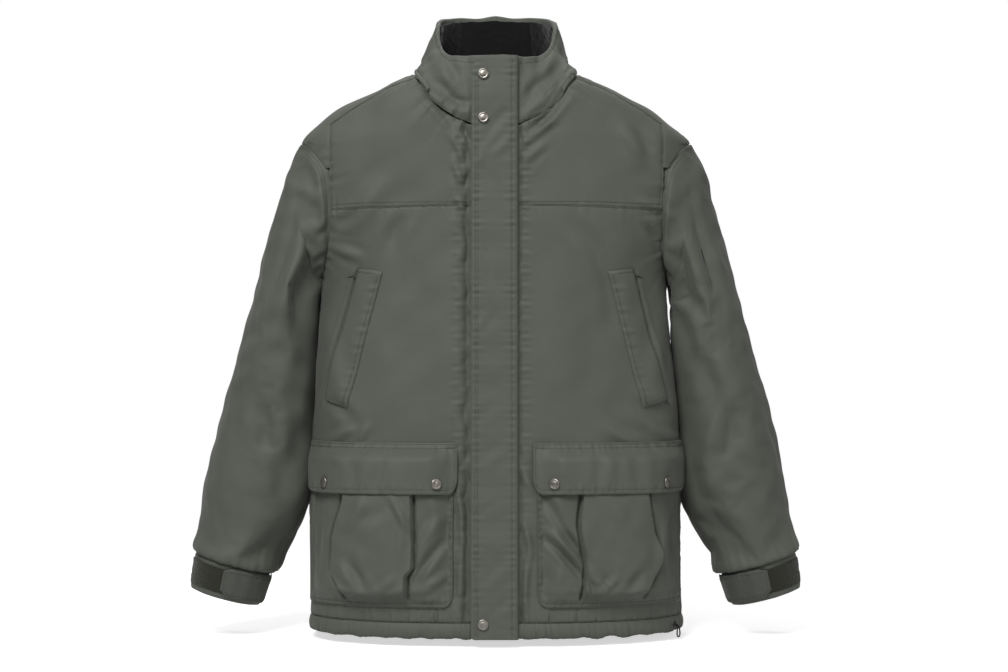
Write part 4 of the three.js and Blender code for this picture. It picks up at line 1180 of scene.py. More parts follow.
def makeBodyLining():
    across = spaced(1560, 9)
    up = spaced(760, 8)

    def edges(height):
        start = angleAtX(18.0, height)
        return start, 360 - start

    def ends(u):
        low, high = np.full(len(u), 500.0), np.full(len(u), 805.0)
        for _ in range(40):
            middle = (low + high) / 2
            inside = middle < neckSeamAt(mix(*edges(middle), u)) - 5
            low, high = np.where(inside, middle, low), np.where(inside, high, middle)
        return np.full(len(u), cut["hemBand"] + 1.0), low

    angles, heights = panelGrid(across, up, edges, ends)
    base = bodyOutside(angles, heights)
    around = angles * 4.3
    rising, falling = (around + heights) * math.pi / 74, (around - heights) * math.pi / 74
    diamonds = np.abs(np.sin(rising)) * np.abs(np.sin(falling))
    lift = slowFolds(base) - 8.6 - 2.2 * np.sqrt(diamonds)
    sides = np.abs(base[..., 0]) > armholeAt(np.clip(heights, armpit, shoulder)) - 3
    keep = ~(sides & (heights > armpit) & (heights < shoulder))
    points = placeOn(bodyOutside, angles, heights, lift)
    faces = gridFaces(*angles.shape)
    whole = keep.reshape(-1)[faces].all(axis=1)
    made = buildMesh("bodyLining", points.reshape(-1, 3), faces[whole], quiltedLining, clothUv(points))
    paddedPiece(thicken(made, 2.6), "jacket_body", "lining", "body_lining")


makeBodyLining()

# hem band; the cord inside it is hidden, not drawn

hem = {"step": 3.0, "gather": 0.8}


def makeHem():
    start = float(angleAtX(cut["openingHalf"], 0))
    angle = mix(start, 360 - start, spaced(1560, hem["step"], (0, 1), (0, 1)))
    tall = cut["hemBand"]
    profile = [
        (tall, -0.8),
        (tall - 1.2, -0.3),
        (tall - 3, 0.4),
        (tall - 6, 1.2),
        (tall - 10, 1.7),
        (tall - 14, 1.5),
        (tall - 17.5, 0.7),
        (tall - 20, -0.8),
        (1.0, -2.4),
        (0.5, -4.2),
        (1.1, -6.0),
        (3.2, -7.6),
        (7, -8.4),
        (14, -8.2),
        (tall, -7.6),
        (tall - 0.4, -4.0),
    ]
    section = np.array(profile + [profile[0]])
    run = np.arange(len(section))
    fine = np.linspace(0, len(section) - 1, 34)[:-1]
    rise = np.interp(fine, run, section[:, 0])
    out = np.interp(fine, run, section[:, 1])
    angles, rises = np.meshgrid(angle, rise)
    outs = np.repeat(out[:, None], len(angle), axis=1)
    base = bodyOutside(angles, np.full_like(angles, 12.0))
    run = angles * 4.35
    pucker = waver(run, 13, 61) + 0.6 * waver(run, 6, 62)
    facing = ease((outs + 5) / 5)
    lift = slowFolds(base) + outs + hem["gather"] * pucker * facing * (0.35 + 0.65 * bell(rises - 4, 12))
    points = placeOn(bodyOutside, angles, rises, lift)
    low = 1 - ease(rises / 12)
    points[..., 2] += low * (0.7 * waver(run, 42, 63) + 0.2 * waver(run, 13, 64))
    rows, columns = angles.shape
    faces = gridFaces(rows + 1, columns)
    faces = np.where(faces >= rows * columns, faces - rows * columns, faces)[:, ::-1]
    flat = points.reshape(-1, 3)
    caps = []
    for column, turn in ((0, 1), (columns - 1, -1)):
        ring = [r * columns + column for r in range(rows)]
        caps.append(ring[::turn])
    mesh = [list(f) for f in faces] + caps
    data = bpy.data.meshes.new("hemBand")
    data.from_pydata(toFrame(flat).tolist(), [], mesh)
    uvs = np.stack([run, np.repeat(fine[:, None] * 2.2, columns, axis=1)], -1).reshape(-1, 2) / 1000
    layer = data.uv_layers.new(name="cloth")
    corners = np.empty(len(data.loops), int)
    data.loops.foreach_get("vertex_index", corners)
    layer.data.foreach_set("uv", uvs[corners].astype(np.float32).ravel())
    data.materials.append(oliveNylon)
    data.polygons.foreach_set("use_smooth", np.ones(len(data.polygons), bool))
    made = bpy.data.objects.new("hemBand", data)
    scene.collection.objects.link(made)
    sewn(made, "jacket_body", "shell", "hem_band", "hem_cord")


makeHem()
print("lining and hem made")

# storm flap, its binding and the zip

stormFlap = {
    "right": -33.6,
    "left": 31.2,
    "corner": 26.0,
    "outside": 8.6,
    "thickness": 2.6,
    "folds": [
        (-14, 700, 22, 742, 4, 7, -1.5),
        (-6, 676, 20, 700, -3, 6, 1.3),
        (2, 640, 18, 600, 0, 6, -1.1),
        (-28, 655, -12, 690, 0, 6, 1.0),
        (-22, 560, -8, 500, 2, 7, -0.9),
        (4, 480, 20, 420, 0, 8, 0.9),
        (-26, 430, -10, 455, 0, 6, 0.9),
        (-24, 300, 6, 330, 3, 8, -0.9),
        (-16, 240, 18, 262, 0, 8, 1.0),
        (-28, 170, 2, 190, 0, 7, -1.0),
        (-10, 66, 22, 104, 2, 8, 1.2),
        (-4, 36, 24, 60, 2, 7, -1.2),
        (-22, 120, -4, 96, 0, 7, 0.9),
    ],
}
stormBlend = ("jacket_body", "storm_flap", (0.0312, 0, -0.4), (0.016, 0, -0.4))


def cornerLift(distance, radius):
    inside = np.maximum(radius - distance, 0)
    return radius - np.sqrt(np.maximum(radius**2 - inside**2, 0))


def stormSurface(x, y):
    top = cut["placketTop"] / math.cos(lean)
    fromRight, fromLeft = x - stormFlap["right"], stormFlap["left"] - x
    lift = stormFlap["outside"] + 0.5 * waver(y, 70, 71) * bell(x + 6, 22)
    lift = lift - 2.3 * np.exp(-np.maximum(fromRight, 0) / 3.0) - 3.2 * np.exp(-np.maximum(fromLeft, 0) / 3.0)
    lift -= 0.7 * bell(fromRight - 5.5, 1.3) + 0.5 * bell(fromRight - 9, 1.2) + 0.9 * bell(fromLeft - 8, 1.4)
    gathers = waver(y, 14, 72) + 0.5 * waver(y, 6.5, 73)
    lift += 0.42 * gathers * (np.exp(-np.abs(fromRight - 7) / 7) + np.exp(-np.abs(fromLeft - 8) / 8))
    lift += folds(x, y, stormFlap["folds"])
    lift -= 1.2 * np.exp(-np.maximum(top - y, 0) / 3) + 0.8 * np.exp(-np.maximum(y, 0) / 3)
    snapX = stormFlap["right"] + 16.6
    for snapY in (21, 726, 788):
        reach = np.hypot(x - snapX, y - snapY / math.cos(lean))
        lift = mix(lift, 8.9, bell(reach, 11)) - 0.5 * bell(reach - 10, 3)
    return lift


def makeStormFlap():
    top = cut["placketTop"] / math.cos(lean)
    lowEdge = (0, 0.5, 1.1, 1.9, 3, 4.4, 5.5, 6.6, 7.8, 9, 10.4)
    u = spaced(64.8, 2.0, lowEdge, (0, 0.5, 1.2, 2.2, 3.6, 5.2, 6.8, 8, 9.2, 10.6))
    v = spaced(top, 2.3, (0, 0.5, 1.3, 2.6), (0, 0.5, 1.3, 2.6))
    y = v[:, None] * top + 0 * u[None, :]
    right = stormFlap["right"] + cornerLift(top - y, stormFlap["corner"]) + cornerLift(y, 5)
    x = mix(right, stormFlap["left"], u[None, :])
    points = upTheFront(x, y, stormSurface(x, y))
    stitch(points, stormBlend, [(whole(4, -14), 6)], [(whole(4, -14), 9)], [(whole(4, -4), -8)])
    made = gridPiece("stormFlap", points, oliveNylon)
    paddedPiece(thicken(made, stormFlap["thickness"]), stormBlend, "shell", "storm_flap")

    x = np.array([24.4, 25, 27, 29, 30.4, 31.4, 32.2])
    drop = np.array([0.6, 0.9, 0.9, 0.4, -0.4, -1.6, -3.4])
    xs, ys = np.meshgrid(x, v * top)
    points = upTheFront(xs, ys, 4.6 + drop[None, :] + 0.3 * waver(ys, 13, 74))
    made = gridPiece("stormFlapBinding", points, oliveNylon)
    sewn(thicken(made, 1.4), "jacket_body", "shell", "storm_flap_binding")


makeStormFlap()

zipParts = {"pitch": 3.0}


def repeatAlong(name, paths, parts, pitch):
    # carries a small part along each line at an even pitch, then keeps it as a plain mesh
    points, edges, start = [], [], 0
    for path in paths:
        points.append(toFrame(path))
        edges += [(start + i, start + i + 1) for i in range(len(path) - 1)]
        start += len(path)
    mesh = bpy.data.meshes.new(name)
    mesh.from_pydata(np.vstack(points).tolist(), edges, [])
    made = bpy.data.objects.new(name, mesh)
    scene.collection.objects.link(made)
    tree = bpy.data.node_groups.new(name + "Tree", "GeometryNodeTree")
    tree.interface.new_socket("Geometry", in_out="INPUT", socket_type="NodeSocketGeometry")
    pitchIn = tree.interface.new_socket("Pitch", in_out="INPUT", socket_type="NodeSocketFloat")
    sizeIn = tree.interface.new_socket("Size", in_out="INPUT", socket_type="NodeSocketVector")
    turnIn = tree.interface.new_socket("Turn", in_out="INPUT", socket_type="NodeSocketVector")
    tree.interface.new_socket("Geometry", in_out="OUTPUT", socket_type="NodeSocketGeometry")
    start, end = tree.nodes.new("NodeGroupInput"), tree.nodes.new("NodeGroupOutput")
    toCurve = tree.nodes.new("GeometryNodeMeshToCurve")
    toPoints = tree.nodes.new("GeometryNodeCurveToPoints")
    toPoints.mode = "LENGTH"
    onPoints = tree.nodes.new("GeometryNodeInstanceOnPoints")
    form = "GeometryNodeMeshCylinder" if parts["kind"] == "thread" else "GeometryNodeMeshCube"
    shape = tree.nodes.new(form)
    if parts["kind"] == "thread":
        shape.inputs["Vertices"].default_value = 6
        shape.inputs["Radius"].default_value = 0.5
        shape.inputs["Depth"].default_value = 1.0
    turn = tree.nodes.new("FunctionNodeRotateRotation")
    turn.rotation_space = "LOCAL"
    fixed = tree.nodes.new("FunctionNodeEulerToRotation")
    real = tree.nodes.new("GeometryNodeRealizeInstances")
    paint = tree.nodes.new("GeometryNodeSetMaterial")
    paint.inputs["Material"].default_value = parts["material"]
    link = tree.links.new
    link(start.outputs["Geometry"], toCurve.inputs["Mesh"])
    link(toCurve.outputs[0], toPoints.inputs["Curve"])
    link(start.outputs["Pitch"], toPoints.inputs["Length"])
    link(toPoints.outputs["Points"], onPoints.inputs["Points"])
    link(shape.outputs["Mesh"], onPoints.inputs["Instance"])
    link(toPoints.outputs["Rotation"], turn.inputs["Rotation"])
    link(start.outputs["Turn"], fixed.inputs["Euler"])
    link(fixed.outputs[0], turn.inputs["Rotate By"])
    link(turn.outputs[0], onPoints.inputs["Rotation"])
    link(start.outputs["Size"], onPoints.inputs["Scale"])
    link(onPoints.outputs[0], real.inputs[0])
    link(real.outputs[0], paint.inputs["Geometry"])
    link(paint.outputs[0], end.inputs[0])
    nodes = made.modifiers.new("repeat", "NODES")
    nodes.node_group = tree
    nodes[pitchIn.identifier] = pitch / 1000
    nodes[sizeIn.identifier] = [s / 1000 for s in parts["size"]]
    nodes[turnIn.identifier] = parts.get("turn", (0.0, 0.0, 0.0))
    settle(made)
    made.data.polygons.foreach_set("use_smooth", np.ones(len(made.data.polygons), bool))
    made.data.set_sharp_from_angle(angle=math.radians(50))
    return made


def makeZip():
    top = (cut["placketTop"] - 6) / math.cos(lean)
    bottom = 25 / math.cos(lean)
    for side, sign in (("left", 1), ("right", -1)):
        offset = 0.75 * sign
        y = np.arange(bottom + 1.2 + offset, top - 1, 0.75)
        line = upTheFront(np.full(len(y), sign * 2.5), y, -2.9)
        teeth = {"kind": "tooth", "size": (4.4, 3.2, 1.5), "material": mouldedPlastic}
        made = repeatAlong(f"zipTeeth_{side}", [line], teeth, zipParts["pitch"])
        bevel = made.modifiers.new("soft", "BEVEL")
        bevel.width = 0.0003
        bevel.segments = 1
        settle(made)
        sewn(made, "jacket_body", "zip_plastic", f"zip_teeth_{side}")
        x = np.array([4.6, 5.2, 6.2, 9, 12, 15, 17.6, 17.9]) * sign
        z = np.array([-3.1, -3.0, -3.2, -3.3, -3.3, -3.3, -3.35, -3.4])
        if sign < 0:
            x, z = x[::-1], z[::-1]
        xs, ys = np.meshgrid(x, np.linspace(3.2, top + 2.8, 230))
        points = upTheFront(xs, ys, z[None, :] + 0.12 * waver(ys, 9, 75))
        made = gridPiece(f"zipTape_{side}", points, zipTapeCloth)
        sewn(thicken(made, 0.8), "jacket_body", "tape", f"zip_tape_{side}")


makeZip()
print("opening made")


def keepWithFinish(name, material, bevel=0.0):
    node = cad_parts[name]
    node.data.materials.clear()
    node.data.materials.append(material)
    if bevel:
        soft = node.modifiers.new("soft", "BEVEL")
        soft.width = bevel
        soft.segments = 2
        soft.limit_method = "ANGLE"


for name in ("zip_slider", "zip_puller"):
    keepWithFinish(name, darkNickel)
keepWithFinish("zip_bottom_box", mouldedPlastic)
keepWithFinish("hem_eyelet", darkNickel)

# hand-warmer welts and the pocket bags behind them


def makeHandPockets():
    u = spaced(36, 1.6, (0, 0.5, 1.1, 1.9, 2.8, 3.8, 5), (0, 0.5, 1.1, 1.9, 2.8))
    v = spaced(190, 2.2, (0, 0.6, 1.4, 2.4, 3.6, 5, 6.4), (0, 0.6, 1.4, 2.4, 3.6, 5, 6.4))
    low = handPocket["bottom"] + handPocket["slant"] * (u - 0.5)
    high = handPocket["top"] + handPocket["slant"] * 0.35 * (u - 0.5)
    heights = mix(low[None, :], high[None, :], v[:, None])
    inner = weltInner(heights)
    angles = mix(angleAtX(inner, heights), angleAtX(inner + handPocket["width"], heights), u[None, :])
    fromInner, fromEnds = u[None, :] * 36, np.minimum(v, 1 - v)[:, None] * 190
    fromSlit = (1 - u)[None, :] * 36
    lift = handPocket["lift"] + handPocket["thickness"] - 1.0 + 1.2 * np.sin(np.pi * u)[None, :]
    lift = lift - 1.9 * np.exp(-fromInner / 1.6) - 1.5 * np.exp(-fromEnds / 1.4)
    lift = lift - 0.6 * np.exp(-fromSlit / 1.0)
    lift -= 0.5 * bell(fromInner - 5.5, 1.2) + 0.45 * bell(fromEnds - 5, 1.2) * (fromInner > 3)
    lift += 0.35 * waver(heights, 16, 81) * bell(fromInner - 6, 8)
    for side in ("left", "right"):
        a, h, up = angles, heights, lift
        if side == "right":
            (a, h), up = mirrorAngles(angles, heights), lift[:, ::-1]
        points = placeOn(bodyOutside, a, h, slowFolds(bodyOutside(a, h)) + up)
        inner, outer = (6, -4) if side == "left" else (-7, 3)
        across = whole(6, -4) if side == "left" else whole(3, -6)
        routes = [[(whole(5, -5), inner)], [(whole(3, -3), outer)], [(5, across)], [(-6, across)]]
        stitch(points, "jacket_body", *routes)
        made = gridPiece(f"handPocketWelt_{side}", points, oliveNylon)
        sewn(thicken(made, 1.7), "jacket_body", "shell", f"hand_pocket_welt_{side}")
        columns, rows = np.linspace(0, 1, 26), np.linspace(304, 507, 34)
        a, h = np.meshgrid(columns, rows)
        mouth = weltInner(h) + handPocket["width"]
        a = mix(angleAtX(mouth - 131, h), angleAtX(mouth + 4, h), a)
        if side == "right":
            a, h = mirrorAngles(a, h)
        points = placeOn(bodyOutside, a, h, slowFolds(bodyOutside(a, h)) - 4.6)
        made = gridPiece(f"handPocketBag_{side}", points, pocketCloth)
        sewn(thicken(made, 1.6), "jacket_body", "trim", f"hand_pocket_bag_{side}")


makeHandPockets()

# bellows pockets

patchPocket = {
    "innerX": 58.0,
    "outerAngle": 81.0,
    "bottom": 42.0,
    "mouth": 245.0,
    "rise": 15.0,
    "corner": 25.0,
    "pleat": 8.0,
    "strength": 1.7,
    "step": 1.9,
    "right": {  # the wearer's right
        "inner": [(42, 121), (84, 121), (99, 112), (194, 114), (245, 116)],
        "outer": [(42, 203), (60, 206), (93, 221), (136, 219), (194, 206), (245, 203)],
        "folds": [
            (-116, 150, -140, 196, 0, 5, 2.2),
            (-114, 72, -66, 140, 3, 6, -3.0),
            (-100, 66, -62, 92, 0, 6, 2.2),
            (-108, 110, -70, 170, 4, 8, 2.6),
            (-150, 180, -176, 160, 0, 9, -1.6),
            (-176, 196, -196, 150, 3, 7, 2.0),
            (-206, 100, -180, 66, 0, 7, 2.6),
            (-192, 110, -168, 58, -3, 7, -2.2),
            (-136, 84, -160, 60, 0, 6, 1.8),
            (-124, 180, -128, 110, 0, 6, 1.6),
            (-228, 190, -232, 80, 0, 8, 1.8),
            (-84, 190, -76, 120, 0, 8, 1.4),
        ],
    },
    "left": {
        "inner": [(42, 117), (55, 119), (81, 123), (97, 123), (156, 115), (196, 118), (245, 119)],
        "outer": [(42, 202), (59, 204), (79, 213), (107, 224), (152, 214), (194, 207), (245, 205)],
        "folds": [
            (68, 197, 120, 104, 3, 7, -3.4),
            (80, 190, 122, 118, -2, 6, 2.6),
            (70, 150, 124, 92, 4, 6, 3.4),
            (70, 138, 118, 84, 2, 5, -2.6),
            (124, 84, 136, 56, 0, 4, -2.6),
            (134, 84, 150, 62, 2, 5, 2.2),
            (162, 84, 146, 66, 0, 5, 1.8),
            (196, 92, 176, 62, 0, 7, -2.2),
            (150, 190, 170, 130, 6, 12, 1.6),
            (232, 160, 222, 90, 0, 9, 2.2),
            (248, 190, 246, 70, 0, 9, -1.8),
            (90, 96, 76, 66, 0, 7, 1.6),
        ],
    },
}


def pocketHeight(angle, height):
    angle = np.where(angle > 180, 360 - angle, angle)
    inner = ease((angle - angleAtX(patchPocket["innerX"], height)) / 12)
    outer = ease((patchPocket["outerAngle"] - angle) / 16)
    bottom = ease((height - patchPocket["bottom"]) / 26)
    top = ease((271 - height) / (271 - patchPocket["mouth"]))
    return 2.8 + patchPocket["rise"] * inner * outer * bottom * top


def pleats(x, h, side):
    here = patchPocket[side]
    innerX, outerX = smoothCurve(here["inner"])(h), smoothCurve(here["outer"])(h)
    ax = np.abs(x)
    rise = patchPocket["pleat"] * ease((214 - h) / 60 + 0.35) * ease((h - 50) / 14)
    raised = ease((ax - innerX + 0.6) / 2.2) * ease((outerX + 0.6 - ax) / 2.2)
    slits = bell(ax - innerX + 2.2, 2.0) + bell(outerX + 2.2 - ax, 2.2)
    lift = rise * (raised - 0.45) - 6.5 * slits * ease((h - 44) / 8)
    middle = (ax - (innerX + outerX) / 2) / np.maximum(outerX - innerX, 1)
    lift += 2.6 * (1 - (2 * middle) ** 2) * raised * bell(h - 120, 60)
    sag = 60 - 12 * (1 - (2 * np.clip(middle, -0.5, 0.5)) ** 2)
    lift += 2.4 * raised * bell(h - sag - 9, 7) - 1.6 * bell(h - sag, 2.2) * ease(1 - np.abs(middle) * 1.2)
    return lift


def pocketTop(x, h, side):
    return pleats(x, h, side) + patchPocket["strength"] * folds(x, h, patchPocket[side]["folds"])


def makePatchPocket(side):
    u = spaced(300, patchPocket["step"], (0, 0.6, 1.4, 2.4, 3.6, 5, 6.4, 7.8), (0, 0.6, 1.4, 2.6, 4))
    v = spaced(203, 2.0, (0, 0.6, 1.4, 2.4, 3.6, 5, 6.4, 7.8, 9.4), (0, 1))
    low = patchPocket["bottom"] + cornerLift(u * 300, patchPocket["corner"])
    heights = mix(low[None, :], patchPocket["mouth"], v[:, None])
    start = angleAtX(patchPocket["innerX"], heights)
    angles = mix(start, patchPocket["outerAngle"], u[None, :])
    fromInner = u[None, :] * 300 + 0 * heights
    fromLow = heights - low[None, :]
    fromOuter = (1 - u)[None, :] * 300 + 0 * heights
    nearest = np.minimum(np.minimum(fromInner, fromLow), fromOuter)
    lift = pocketHeight(angles, heights)
    base = bodyOutside(angles, heights)
    if side == "right":
        base = base * np.array([-1, 1, 1])
    flatEdge = ease((nearest - 7) / 8)
    lift = lift + flatEdge * (pocketTop(base[..., 0], heights, side) + 0.5 * ripples(base, 34, 83))
    lift -= 1.6 * np.exp(-nearest / 1.3) + 0.7 * bell(nearest - 6.5, 1.3) - 0.8 * bell(nearest - 3.2, 2.2)
    run = np.where(fromLow < fromInner, base[..., 0], heights)
    lift += 0.5 * waver(run, 13, 84) * bell(nearest - 8, 7)
    if side == "right":
        angles, heights = mirrorAngles(angles, heights)
        lift, base = lift[:, ::-1], base[:, ::-1]
    points = placeOn(bodyOutside, angles, heights, lift + slowFolds(bodyOutside(angles, heights)))
    columns = (6, 3, -5) if side == "left" else (-7, -4, 4)
    across = whole(6, -5) if side == "left" else whole(4, -7)
    stitch(points, "jacket_body", [(6, across)], [(3, across)], *[[(whole(6, -2), k)] for k in columns])
    made = gridPiece(f"patchPocket_{side}", points, oliveNylon)
    sewn(thicken(made, 1.6), "jacket_body", "shell", f"patch_pocket_{side}")


pocketFlap = {
    "innerX": 52.5,
    "outerAngle": 84.0,
    "bottom": 199.0,
    "top": 271.0,
    "corner": 25.0,
    "thickness": 2.4,
    "clearance": 3.0,
    "snapLevel": 214.0,
    "snapFront": 80.5,
    "snapSide": 229.0,
    "right": [
        (-150, 260, -160, 205, 2, 6, -1.8),
        (-170, 262, -178, 204, 3, 7, 1.8),
        (-192, 258, -186, 206, 0, 7, -1.6),
        (-110, 262, -100, 210, 0, 9, 1.0),
        (-225, 265, -205, 240, 0, 6, 1.4),
        (-66, 264, -72, 236, 0, 6, 0.9),
    ],
    "left": [
        (138, 262, 134, 206, 2, 7, -1.8),
        (156, 262, 150, 205, 0, 7, 1.4),
        (186, 262, 192, 206, -2, 7, -1.8),
        (204, 262, 204, 208, 0, 7, 1.4),
        (222, 266, 236, 246, 0, 5, 1.6),
        (90, 262, 96, 212, 0, 9, 1.0),
    ],
}


def flapHeight(angle, height):
    drop = ease((pocketFlap["top"] - height) / 30)
    seam = mix(1.4, 0, drop)
    return pocketHeight(angle, height) - seam + pocketFlap["clearance"] * drop


def flapLift(angles, heights, side):
    base = bodyOutside(angles, heights)
    x = base[..., 0]
    lift = flapHeight(angles, heights) + pocketFlap["thickness"] + slowFolds(base)
    drop = ease((pocketFlap["top"] - heights) / 45)
    snapped = 1.0
    for snapX in (pocketFlap["snapFront"], pocketFlap["snapSide"]):
        near = np.hypot(np.abs(x) - snapX, heights - pocketFlap["snapLevel"])
        snapped = snapped * (1 - bell(near, 13))
        lift = lift - 0.5 * bell(near - 10, 3.2)
    puff = folds(x, heights, pocketFlap[side]) + 2.6 * drop * bell(np.abs(x) - 162, 58)
    return lift + snapped * puff


def makePocketFlap(side):
    u = spaced(318, 2.2, (0, 0.5, 1.2, 2.2, 3.4, 4.8, 6.2, 7.6), (0, 0.5, 1.2, 2.2, 3.4, 4.8, 6.2, 7.6))
    v = spaced(72, 2.0, (0, 0.5, 1.2, 2.2, 3.4, 4.8, 6.2, 7.6), (0, 0.5, 1.2, 2.2, 4, 6, 7.6, 9, 10.4))
    low = pocketFlap["bottom"] + cornerLift(np.minimum(u, 1 - u) * 318, pocketFlap["corner"])
    heights = mix(low[None, :], pocketFlap["top"], v[:, None])
    angles = mix(angleAtX(pocketFlap["innerX"], heights), pocketFlap["outerAngle"], u[None, :])
    rim = np.minimum(np.minimum(u, 1 - u)[None, :] * 318 + 0 * heights, heights - low[None, :])
    fromTop = (1 - v)[:, None] * 72 + 0 * heights
    if side == "right":
        angles, heights = mirrorAngles(angles, heights)
        rim, fromTop = rim[:, ::-1], fromTop[:, ::-1]
    lift = flapLift(angles, heights, side)
    lift -= 1.5 * np.exp(-rim / 1.3) + 0.6 * bell(rim - 6.5, 1.3) + 1.3 * np.exp(-fromTop / 1.2)
    lift -= 0.7 * bell(fromTop - 8.5, 1.4)
    x = bodyOutside(angles, heights)[..., 0]
    lift += 0.45 * waver(x, 13, 91) * (bell(rim - 7, 6) + bell(fromTop - 8, 7))
    points = placeOn(bodyOutside, angles, heights, lift)
    joined = ("jacket_body", f"pocket_flap_{side}", (0, 0, -0.5245), (0, 0, -0.5375))
    across = whole(6, -6)
    upright = [[(whole(6, -7), 6)], [(whole(6, -7), -7)]]
    stitch(points, joined, *upright, [(6, across)], [(-7, across)], [(-4, across)])
    made = gridPiece(f"pocketFlap_{side}", points, oliveNylon)
    paddedPiece(thicken(made, 2.0), joined, "shell", f"pocket_flap_{side}")


for side in ("left", "right"):
    makePatchPocket(side)
    makePocketFlap(side)
print("pockets made")

# sleeves

sleeve = {
    "around": 150,
    "step": 3.6,
    "strength": 1.7,
    "capPuff": 3.0,
    "cuffPuff": 5.0,
    "pressed": 4.0,
    "cloth": {
        "rows": 74,
        "columns": 64,
        "extra": 0.04,
        "bending": 0.25,
        "pressure": 0.5,
        "cap": 4.5,
        "frames": 16,
    },
    "rings": [
        ((-27, -205), (15, -29), 72, 5),
        ((-24, -213), (30, -77), 77, 8),
        ((-21, -227), (52, -149), 84, 10),
        ((-20, -252), (71, -220), 88, 10),
        ((-17, -320), (90, -293), 86, 8),
        ((-13, -409), (114, -379), 80, 5),
        ((-10, -515), (136, -479), 75, 2),
        ((14, -567), (145, -537), 67, 0),
        ((45, -619), (152, -589), 58, -3),
    ],
    "cuffEnd": ((61, -666), (159, -639), 50, -5),
    "left": [  # turn round the sleeve in degrees, then millimetres below the armhole
        (100, 20, 96, 190, 4, 13, 3.6),
        (126, 60, 132, 220, -5, 14, -5.4),
        (146, 120, 120, 215, 6, 12, 4.0),
        (80, 30, 70, 150, 0, 14, -2.0),
        (118, 225, 104, 300, 4, 14, -3.6),
        (100, 300, 116, 390, -5, 15, 3.2),
        (86, 300, 102, 372, 3, 13, -3.0),
        (120, 380, 134, 450, 0, 14, 3.8),
        (140, 370, 128, 470, 5, 13, -4.6),
        (70, 240, 60, 400, 0, 20, 2.2),
        (40, 200, 46, 360, 0, 22, -1.8),
        (100, 430, 84, 540, 3, 18, 2.2),
        (270, 60, 262, 230, 6, 18, 3.4),
        (240, 90, 246, 260, 0, 16, -3.6),
        (300, 260, 270, 360, 6, 18, 3.0),
        (250, 300, 285, 380, 4, 16, -3.2),
        (230, 380, 250, 500, 0, 18, 2.8),
        (330, 120, 320, 300, 0, 22, 1.8),
    ],
    "right": [
        (94, 16, 92, 200, -3, 12, 3.8),
        (124, 50, 126, 190, 4, 13, -5.2),
        (76, 40, 68, 180, 0, 14, -1.8),
        (112, 200, 98, 330, -4, 17, 2.4),
        (90, 280, 108, 360, 4, 13, -3.2),
        (112, 320, 128, 400, 0, 13, 3.8),
        (130, 340, 124, 430, 4, 13, -4.8),
        (146, 230, 130, 320, 0, 14, 3.0),
        (60, 230, 54, 400, 0, 20, 2.0),
        (36, 180, 44, 340, 0, 22, -1.8),
        (104, 440, 90, 540, -3, 18, 2.0),
        (130, 470, 110, 560, 0, 14, -2.2),
        (268, 70, 264, 240, -6, 18, 3.4),
        (236, 100, 244, 250, 0, 16, -3.6),
        (296, 270, 268, 350, -6, 18, 3.0),
        (246, 310, 280, 390, 4, 16, -3.2),
        (226, 390, 252, 500, 0, 18, 2.8),
        (326, 130, 318, 290, 0, 22, 1.8),
    ],
}


def ringPoint(ring, turn, inset):
    (innerX, innerZ), (outerX, outerZ), halfDepth, middleY = ring
    inner = np.array([shoulderHalf + innerX, shoulder + innerZ])
    outer = np.array([shoulderHalf + outerX, shoulder + outerZ])
    shift = max(float(halfWidthAt(inner[1])) + 3 - inner[0], 0)
    inner[0] += shift
    outer[0] += shift
    half, middle = (outer - inner) / 2, (outer + inner) / 2
    span = np.linalg.norm(half)
    c, s = np.cos(np.radians(turn)), np.sin(np.radians(turn))
    share = c * (span - inset) / span
    ahead = middleY - (halfDepth - inset) * s
    return np.stack([middle[0] + half[0] * share, ahead, middle[1] + half[1] * share], -1)


def armholeRing(turn, inset):
    middle = (armpit + shoulder) / 2
    ahead = np.sin(np.radians(turn))
    height = mix(armpit, shoulder, 0.5 + 0.5 * np.cos(np.radians(turn)))
    reach = np.minimum(armholeAt(height) / halfWidthAt(height), 1)
    depth = np.where(ahead > 0, frontDepthAt(height), backDepthAt(height))
    fullness = np.maximum((1 - reach**power) ** (1 / power), 0.16 * np.abs(ahead))
    y = -np.sign(ahead) * depth * fullness
    distance = np.maximum(np.hypot(y, height - middle), 1)
    y = y - y / distance * inset
    height = height - (height - middle) / distance * inset
    return np.stack([armholeAt(height), y, height], -1)


def loftRings(rings, places):  # a smooth sheet through rings of points, at distances along it
    rings = np.array(rings)
    run = np.concatenate([[0], np.cumsum(np.linalg.norm(np.diff(rings, axis=0), axis=-1).mean(axis=1))])
    slopes = np.gradient(rings, run, axis=0)
    slopes[0] = (rings[1] - rings[0]) / (run[1] - run[0])
    slopes[-1] = (rings[-1] - rings[-2]) / (run[-1] - run[-2])
    wanted = places * run[-1]
    i = np.clip(np.searchsorted(run, wanted, side="right") - 1, 0, len(run) - 2)
    span = (run[i + 1] - run[i])[:, None, None]
    t = ((wanted - run[i]) / (run[i + 1] - run[i]))[:, None, None]
    start = rings[i] * (1 + 2 * t) * (1 - t) ** 2 + slopes[i] * span * t * (1 - t) ** 2
    finish = rings[i + 1] * t * t * (3 - 2 * t) - slopes[i + 1] * span * t * t * (1 - t)
    return start + finish, wanted


def gridNormals(points):  # for a tube: rows along it, columns round it
    around = np.roll(points, -1, axis=1) - np.roll(points, 1, axis=1)
    along = np.gradient(points, axis=0)
    return unit(np.cross(around, along))


def sleeveGrid(inset, first=0, lengthwise=None, step=3.6):
    turns = np.arange(sleeve["around"]) * 360 / sleeve["around"]
    rings = [ringPoint(r, turns, inset) for r in sleeve["rings"]]
    if first == 0:
        rings = [armholeRing(turns, inset)] + rings
    places = spaced(610, step, seamRows[:9], seamRows[:7]) if lengthwise is None else lengthwise
    points, along = loftRings(rings, places)
    return points, along, turns


